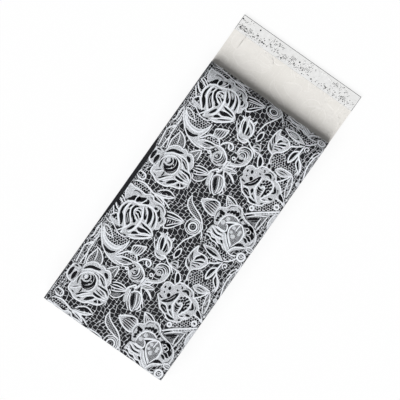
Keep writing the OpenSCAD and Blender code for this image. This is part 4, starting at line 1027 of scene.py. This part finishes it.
def on_back(p):
    u, v, h = p.T
    return np.c_[HALF - u, FREE - v, -h]


def under_nose(v):
    """How far the top of a side drops at v: radius minus the height of the circle over the nose axis."""
    d = np.clip(FREE - NOSE_Y - v, 0, NOSE_R * math.sin(NOSE_TURN))
    return NOSE_R - np.sqrt(NOSE_R**2 - d**2)


V_NOSE, V_FOOT, V_MOUTH = FREE - NOSE_Y, FREE - FOOT, FREE - MOUTH
V_CREASE = [(FREE - b, FREE - a) for a, b in CREASES]
EDGE, LINE = 0.04, 0.1
ACROSS, LEFT, RIGHT = (EDGE, 2 * HALF - EDGE), EDGE - TOP, 2 * HALF + TOP - EDGE


def painted_shade_margin(v):
    """Width of the plain paper left of the lace on the front: 0.5 mm of plain margin, widened as painted shade
    along the left side: from 0.5 mm it widens to 3.2 mm at 120 mm from the free edge, and from 166 mm on it
    narrows again to 0.5 mm at 192 mm."""
    return 0.5 + 2.7 * np.clip((v - 112) / 8, 0, 1) * np.clip((192 - v) / 26, 0, 1)


# The front keeps a strip bare of lace at its left edge, widest at mid-length: painted shade along that side.
PANELS = {
    "front": ("box", on_front, dict(u_range=ACROSS, v_range=(V_NOSE - NOSE_ARC + LINE, V_FOOT - EDGE),
                                    trim=lambda v: (painted_shade_margin(v), np.full(len(v), ACROSS[1])))),
    "foot": ("box", on_foot, dict(u_range=ACROSS, v_range=(V_FOOT + EDGE, V_FOOT + TOP - EDGE))),
    "left": ("box", on_left, dict(u_range=(-TOP, 0), v_range=(V_MOUTH + LINE, V_FOOT - EDGE),
                                  trim=lambda v: (np.full(len(v), LEFT), -under_nose(v) - EDGE))),
    "right": ("box", on_right, dict(u_range=(2 * HALF, 2 * HALF + TOP), v_range=(V_MOUTH + LINE, V_FOOT - EDGE),
                                    trim=lambda v: (2 * HALF + under_nose(v) + EDGE, np.full(len(v), RIGHT)))),
    "back": ("box", on_back, dict(u_range=ACROSS, v_range=(V_MOUTH, V_FOOT - EDGE))),
    "spine": ("spine_panel", on_back, dict(u_range=ACROSS, v_range=(V_CREASE[1][1], V_CREASE[0][0]))),
    "flap": ("flap_panel", on_back, dict(u_range=ACROSS, v_range=(LINE, V_CREASE[1][0]))),
}
LAYERS = (("lace", LACE, lace_thread), ("lace_gaps", GAPS, gap_paper_painted_shade))
for panel, (body, place, window) in PANELS.items():
    for what, piece, material in LAYERS:
        verts, faces = lay(piece, **window)
        make_mesh(panel + "_" + what, place(verts), faces, material, body, "lace_wrap")
        print(panel, what, len(faces), "faces")

# %% [markdown]
# The two creases are where the lid bends. There is no board in them: only the wrap outside and the lining
# inside, which fold as paper does. Each strip is cut into fine steps so that it can bend, and is laid flat
# with the open lid; the lace on its outside is laid flat with it.

# %% Crease strips, cut in steps
def strip(z0, z1, y0, y1, steps=30):
    """Closed band across the box, from z0 to z1 and cut in steps along y. A loop of (y, z) points goes there on
    top and back below; the loop stands at both sides of the box, and faces join the two."""
    y = np.linspace(y0, y1, steps + 1)
    loop = np.vstack([np.c_[y, np.full(len(y), z1)], np.c_[y[::-1], np.full(len(y), z0)]])
    m = len(loop)
    verts = np.vstack([np.c_[np.full(m, x), loop] for x in (-HALF, HALF)])
    i = np.arange(m)
    j = (i + 1) % m
    wall = np.stack([i, i + m, j + m, j], axis=-1)
    k = np.arange(steps)
    cap = np.stack([k, k + 1, m - 2 - k, m - 1 - k], axis=-1)
    return verts, np.vstack([wall[:, ::-1], cap, cap[:, ::-1] + m])


WRAP_T, LINER_T = span("back_wrap")[1][2], span("back_liner")[1][2] - span("back_liner")[0][2]
PAIRS = [("spine_crease", "box", "spine_panel"), ("flap_crease", "spine_panel", "flap_panel")]
for (name, near, far), (y0, y1) in zip(PAIRS, CREASES):
    outside, inside_face = strip(0, WRAP_T, y0, y1), strip(LID_TOP - LINER_T, LID_TOP, y0, y1)
    wrap = make_mesh(name + "_paper", *outside, charcoal_paper, slot="lace_wrap", smooth=False)
    lining = make_mesh(name + "_lining", *inside_face, pearl_paper, slot="lining_paper", smooth=False)
    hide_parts(name + "_wrap")
    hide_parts(name + "_liner")
    made = [wrap, lining]
    for what, piece, material in LAYERS:
        verts, faces = lay(piece, ACROSS, (FREE - y1, FREE - y0))
        made.append(make_mesh(name + "_" + what, on_back(verts), faces, material, slot="lace_wrap"))
    for piece in made:
        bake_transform(piece)
    print(name, "bends between", near, "and", far)

# %% [markdown]
# The wrap is turned in over the free edge of the lid and ends in a border of close clothwork. It is
# almost all thread: only small holes, short hatched runs and a few scrolls let the charcoal show. The
# border stops a little short of the edge, so a thin dark line of wrap is left along it.

# %% Turned-in border of the flap
BAND_TOP, BAND_V = float(span("flap_wrap")[1][2]), 13.0


def on_lid(top):
    """Upside of the open lid: u across, v from the free edge, height above the given level."""
    return lambda p: np.c_[p[:, 0] - HALF, FREE - p[:, 1], top + p[:, 2]]


HOLE_TRIES = 760
BOLD_HOLES = pairs(0.9,3.1, 2.6,9.4, 17.4,7.3, 29,7.3, 41,10.8, 54.3,5.4, 51.4,8.8, 68.4,10.8, 24.2,9.6, 22.6,9.4,
                   16.6,2.8)
HATCHED_RUNS = ((47.4,4.4, 5), (33.4,6.6, 4), (61,5.6, 4), (84,2.6, 5), (20.4,8.6, 3), (95,7.4, 4), (10,6, 3))
SCROLLS = ((15.5,8, 17,10, 19.4,12), (32.6,7.4, 34.4,6.4, 35.2,8.6), (98.6,7, 99.8,10.4, 102.4,11.6, 104.4,9),
           (70,3, 76,1.8, 82,3.4), (4,5, 9,3, 14,4.4), (55,2, 59,3.8, 63,2.4))


def border_holes(seed=5):
    """Places and sizes of the small holes. They thicken in two bands, 9.3 and 3.6 mm from the edge: a place is
    kept if a random number is under the sum of two bells, exp(-(distance / spread) squared), which come and go
    along the border."""
    rng = np.random.default_rng(seed)
    u, v = rng.uniform(1, 106, HOLE_TRIES), rng.uniform(0.6, 12.4, HOLE_TRIES)
    far = 0.75 * np.exp(-(((v - 9.3) / 2.2) ** 2)) * (0.35 + 0.65 * (np.sin(u * 0.16 - 0.4) > -0.2))
    near = 0.5 * np.exp(-(((v - 3.6) / 1.6) ** 2)) * (np.sin(u * 0.21 + 1) > 0.1)
    keep = rng.uniform(0, 1, HOLE_TRIES) < far + near
    return np.c_[u, v][keep], rng.uniform(0.12, 0.42, keep.sum())


def flap_border():
    """White and gap faces of the border in u, v and height: clothwork, small and bold holes, slanted dark runs,
    hatched runs and a few cords. Each kind of gap lies a hair higher than the one before."""
    u0, u1, v0, v1 = 0.3, 2 * HALF - 0.3, 0.45, BAND_V - 0.1
    white = [rows(pairs(u0, v0, u1, v0, u1, v1, u0, v1), CLOTH_PITCH, CLOTH_PITCH + 0.005, 0.03, step=8)]
    gaps = [dots(*border_holes(), 0.045), dots(BOLD_HOLES, 0.62, 0.046)]
    for at, size in zip(*border_holes(seed=11)):
        way = 0.6 * math.sin(0.35 * at[0]) - 0.9
        run = np.linspace(-1.1, 1.1, 5)[:, None] * size * 2.2 * np.array([math.cos(way), math.sin(way)])
        gaps.append(slit_faces(at + run, 0.16 + 0.3 * size, 0.048))
    for u, v, count in HATCHED_RUNS:
        for x in u + 0.95 * np.arange(count):
            gaps.append(slit_faces(smooth((x, v, x - 0.3, v + 1.1, x, v + 2.2)), 0.3, 0.047))
    white += [bars(smooth(scroll), 0.9, 0.05, 0.14) for scroll in SCROLLS]
    return gather(white), gather(gaps)


for what, piece, material in zip(("flap_border", "flap_border_holes"), flap_border(), (border_thread, gap_paper_painted_shade)):
    make_mesh(what, on_lid(BAND_TOP)(piece[0]), piece[1], material, "flap_panel", "lace_wrap")
print("flap border at", BAND_TOP, "mm")

# %% [markdown]
# The lining is pearl paper pressed with the same lace, so faintly that it shows only where light grazes
# it. The pressed cords are the lace again, cut down in height and coloured a touch lighter than the lining: painted
# highlight on the raised lace.

# %% Pressed lace on the lid lining
def press(piece, low=0.012, high=0.05):
    """The lace at a share of its height: new height runs from low to high as the old one does from net to cord."""
    verts = piece[0].copy()
    verts[:, 2] = low + (high - low) * np.clip((verts[:, 2] - LIFT["net"]) / (LIFT["cord"] - LIFT["net"]), 0, 1)
    return verts, piece[1]


PRESSED = press(LACE)
PRESSED_ACROSS = (0.4, 2 * HALF - 0.4)
LINING = {"spine": ("spine_panel", V_CREASE[1][1], V_CREASE[0][0]), "flap": ("flap_panel", BAND_V, V_CREASE[1][0])}
for panel, (body, v0, v1) in LINING.items():
    verts, faces = lay(PRESSED, PRESSED_ACROSS, (v0, v1))
    make_mesh(panel + "_pressed_lace", on_lid(LID_TOP)(verts), faces, pressed_pearl_painted_highlight, body, "lining_paper")
for (name, near, far), (y0, y1) in zip(PAIRS, CREASES):
    verts, faces = lay(PRESSED, PRESSED_ACROSS, (FREE - y1, FREE - y0))
    piece = make_mesh(name + "_pressed_lace", on_lid(LID_TOP)(verts), faces, pressed_pearl_painted_highlight, slot="lining_paper")
    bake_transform(piece)
print("pressed lace on the lid lining")

# %% [markdown]
# The stage is a pale floor just under the box, a large soft lamp that leans in from the foot end, and an
# even pale sky. To the camera the floor is almost pure white, yet it still takes the shadow of the box.

# %% Floor, lamps and sky
FLOOR_Z, FLOOR_SIDE, FLOOR_GREY, PLAIN_WHITE = -0.4, 6000.0, 0.93, 0.88


def floor_material():
    """The camera sees seven parts plain white to one part lit paper, so that the shadow stays."""
    m = bpy.data.materials.new("pale floor")
    m.use_nodes = True
    n, link = m.node_tree.nodes, m.node_tree.links.new
    base = n["Principled BSDF"]
    base.inputs["Base Color"].default_value = (FLOOR_GREY, FLOOR_GREY, FLOOR_GREY, 1)
    base.inputs["Roughness"].default_value = 0.9
    kinds = ("Emission", "MixShader", "LightPath", "Math", "Math")
    glow, mix, rays, share, seen = (n.new("ShaderNode" + kind) for kind in kinds)
    glow.inputs["Strength"].default_value = 1.0
    seen.operation = "MAXIMUM"
    share.operation, share.inputs[1].default_value = "MULTIPLY", PLAIN_WHITE
    link(rays.outputs["Is Camera Ray"], seen.inputs[0])
    link(rays.outputs["Is Glossy Ray"], seen.inputs[1])
    link(seen.outputs[0], share.inputs[0])
    link(share.outputs[0], mix.inputs["Fac"])
    link(base.outputs["BSDF"], mix.inputs[1])
    link(glow.outputs["Emission"], mix.inputs[2])
    link(mix.outputs["Shader"], n["Material Output"].inputs["Surface"])
    return m


corners = np.c_[FLOOR_SIDE * pairs(-1,-1, 1,-1, 1,1, -1,1), np.full(4, FLOOR_Z)]
floor = make_mesh("floor", corners, np.array([[0, 1, 2, 3]]), floor_material(), smooth=False)


def sun(name, strength, spread, lean, azimuth):
    """A soft lamp, its angles in degrees: spread is its width in the sky, lean its angle from straight above,
    and azimuth 0 comes from the foot end and 90 from the right."""
    lamp = bpy.data.lights.new(name, "SUN")
    lamp.energy, lamp.angle = strength, math.radians(spread)
    obj = bpy.data.objects.new(name, lamp)
    obj.rotation_euler = (math.radians(lean), 0, math.radians(azimuth))
    bpy.context.scene.collection.objects.link(obj)
    return obj


sun("key lamp", strength=3.07, spread=45, lean=37, azimuth=0)
sky = bpy.data.worlds.new("even sky")
sky.use_nodes = True
sky.node_tree.nodes["Background"].inputs["Color"].default_value = (0.985, 0.99, 1.0, 1)
sky.node_tree.nodes["Background"].inputs["Strength"].default_value = 0.26
bpy.context.scene.world = sky

# %% [markdown]
# The camera looks straight down from far away through a long lens, so that the box shows almost no
# perspective, and it is turned so that the lid points up and to the right. The field is the width that the
# camera takes in, in millimetres, and its aim is a few pixels off the middle of the box.

# %% Camera
FIELD, ROLL, DISTANCE, SENSOR, PIXELS = 298.7, 35.3, 9000.0, 36, 400
OFF_RIGHT, OFF_UP = 2.85, 2.7
cam_data = bpy.data.cameras.new("camera")
cam_data.sensor_width = SENSOR
cam_data.lens = SENSOR * DISTANCE / FIELD
cam_data.clip_start, cam_data.clip_end = 0.5, 40
camera = bpy.data.objects.new("camera", cam_data)
roll = math.radians(ROLL)
right, up = np.array([math.cos(roll), math.sin(roll)]), np.array([-math.sin(roll), math.cos(roll)])
centre = np.array([0, (FREE + FOOT) / 2]) - right * OFF_RIGHT * FIELD / PIXELS - up * OFF_UP * FIELD / PIXELS
camera.location = (centre[0] * MM, centre[1] * MM, (TOP + DISTANCE) * MM)
camera.rotation_euler = (0, 0, roll)
bpy.context.scene.collection.objects.link(camera)
bpy.context.scene.camera = camera
view_settings = bpy.context.scene.view_settings
view_settings.view_transform = "Standard"
print("lens", round(cam_data.lens), "mm, aimed at", np.round(centre, 1).tolist())
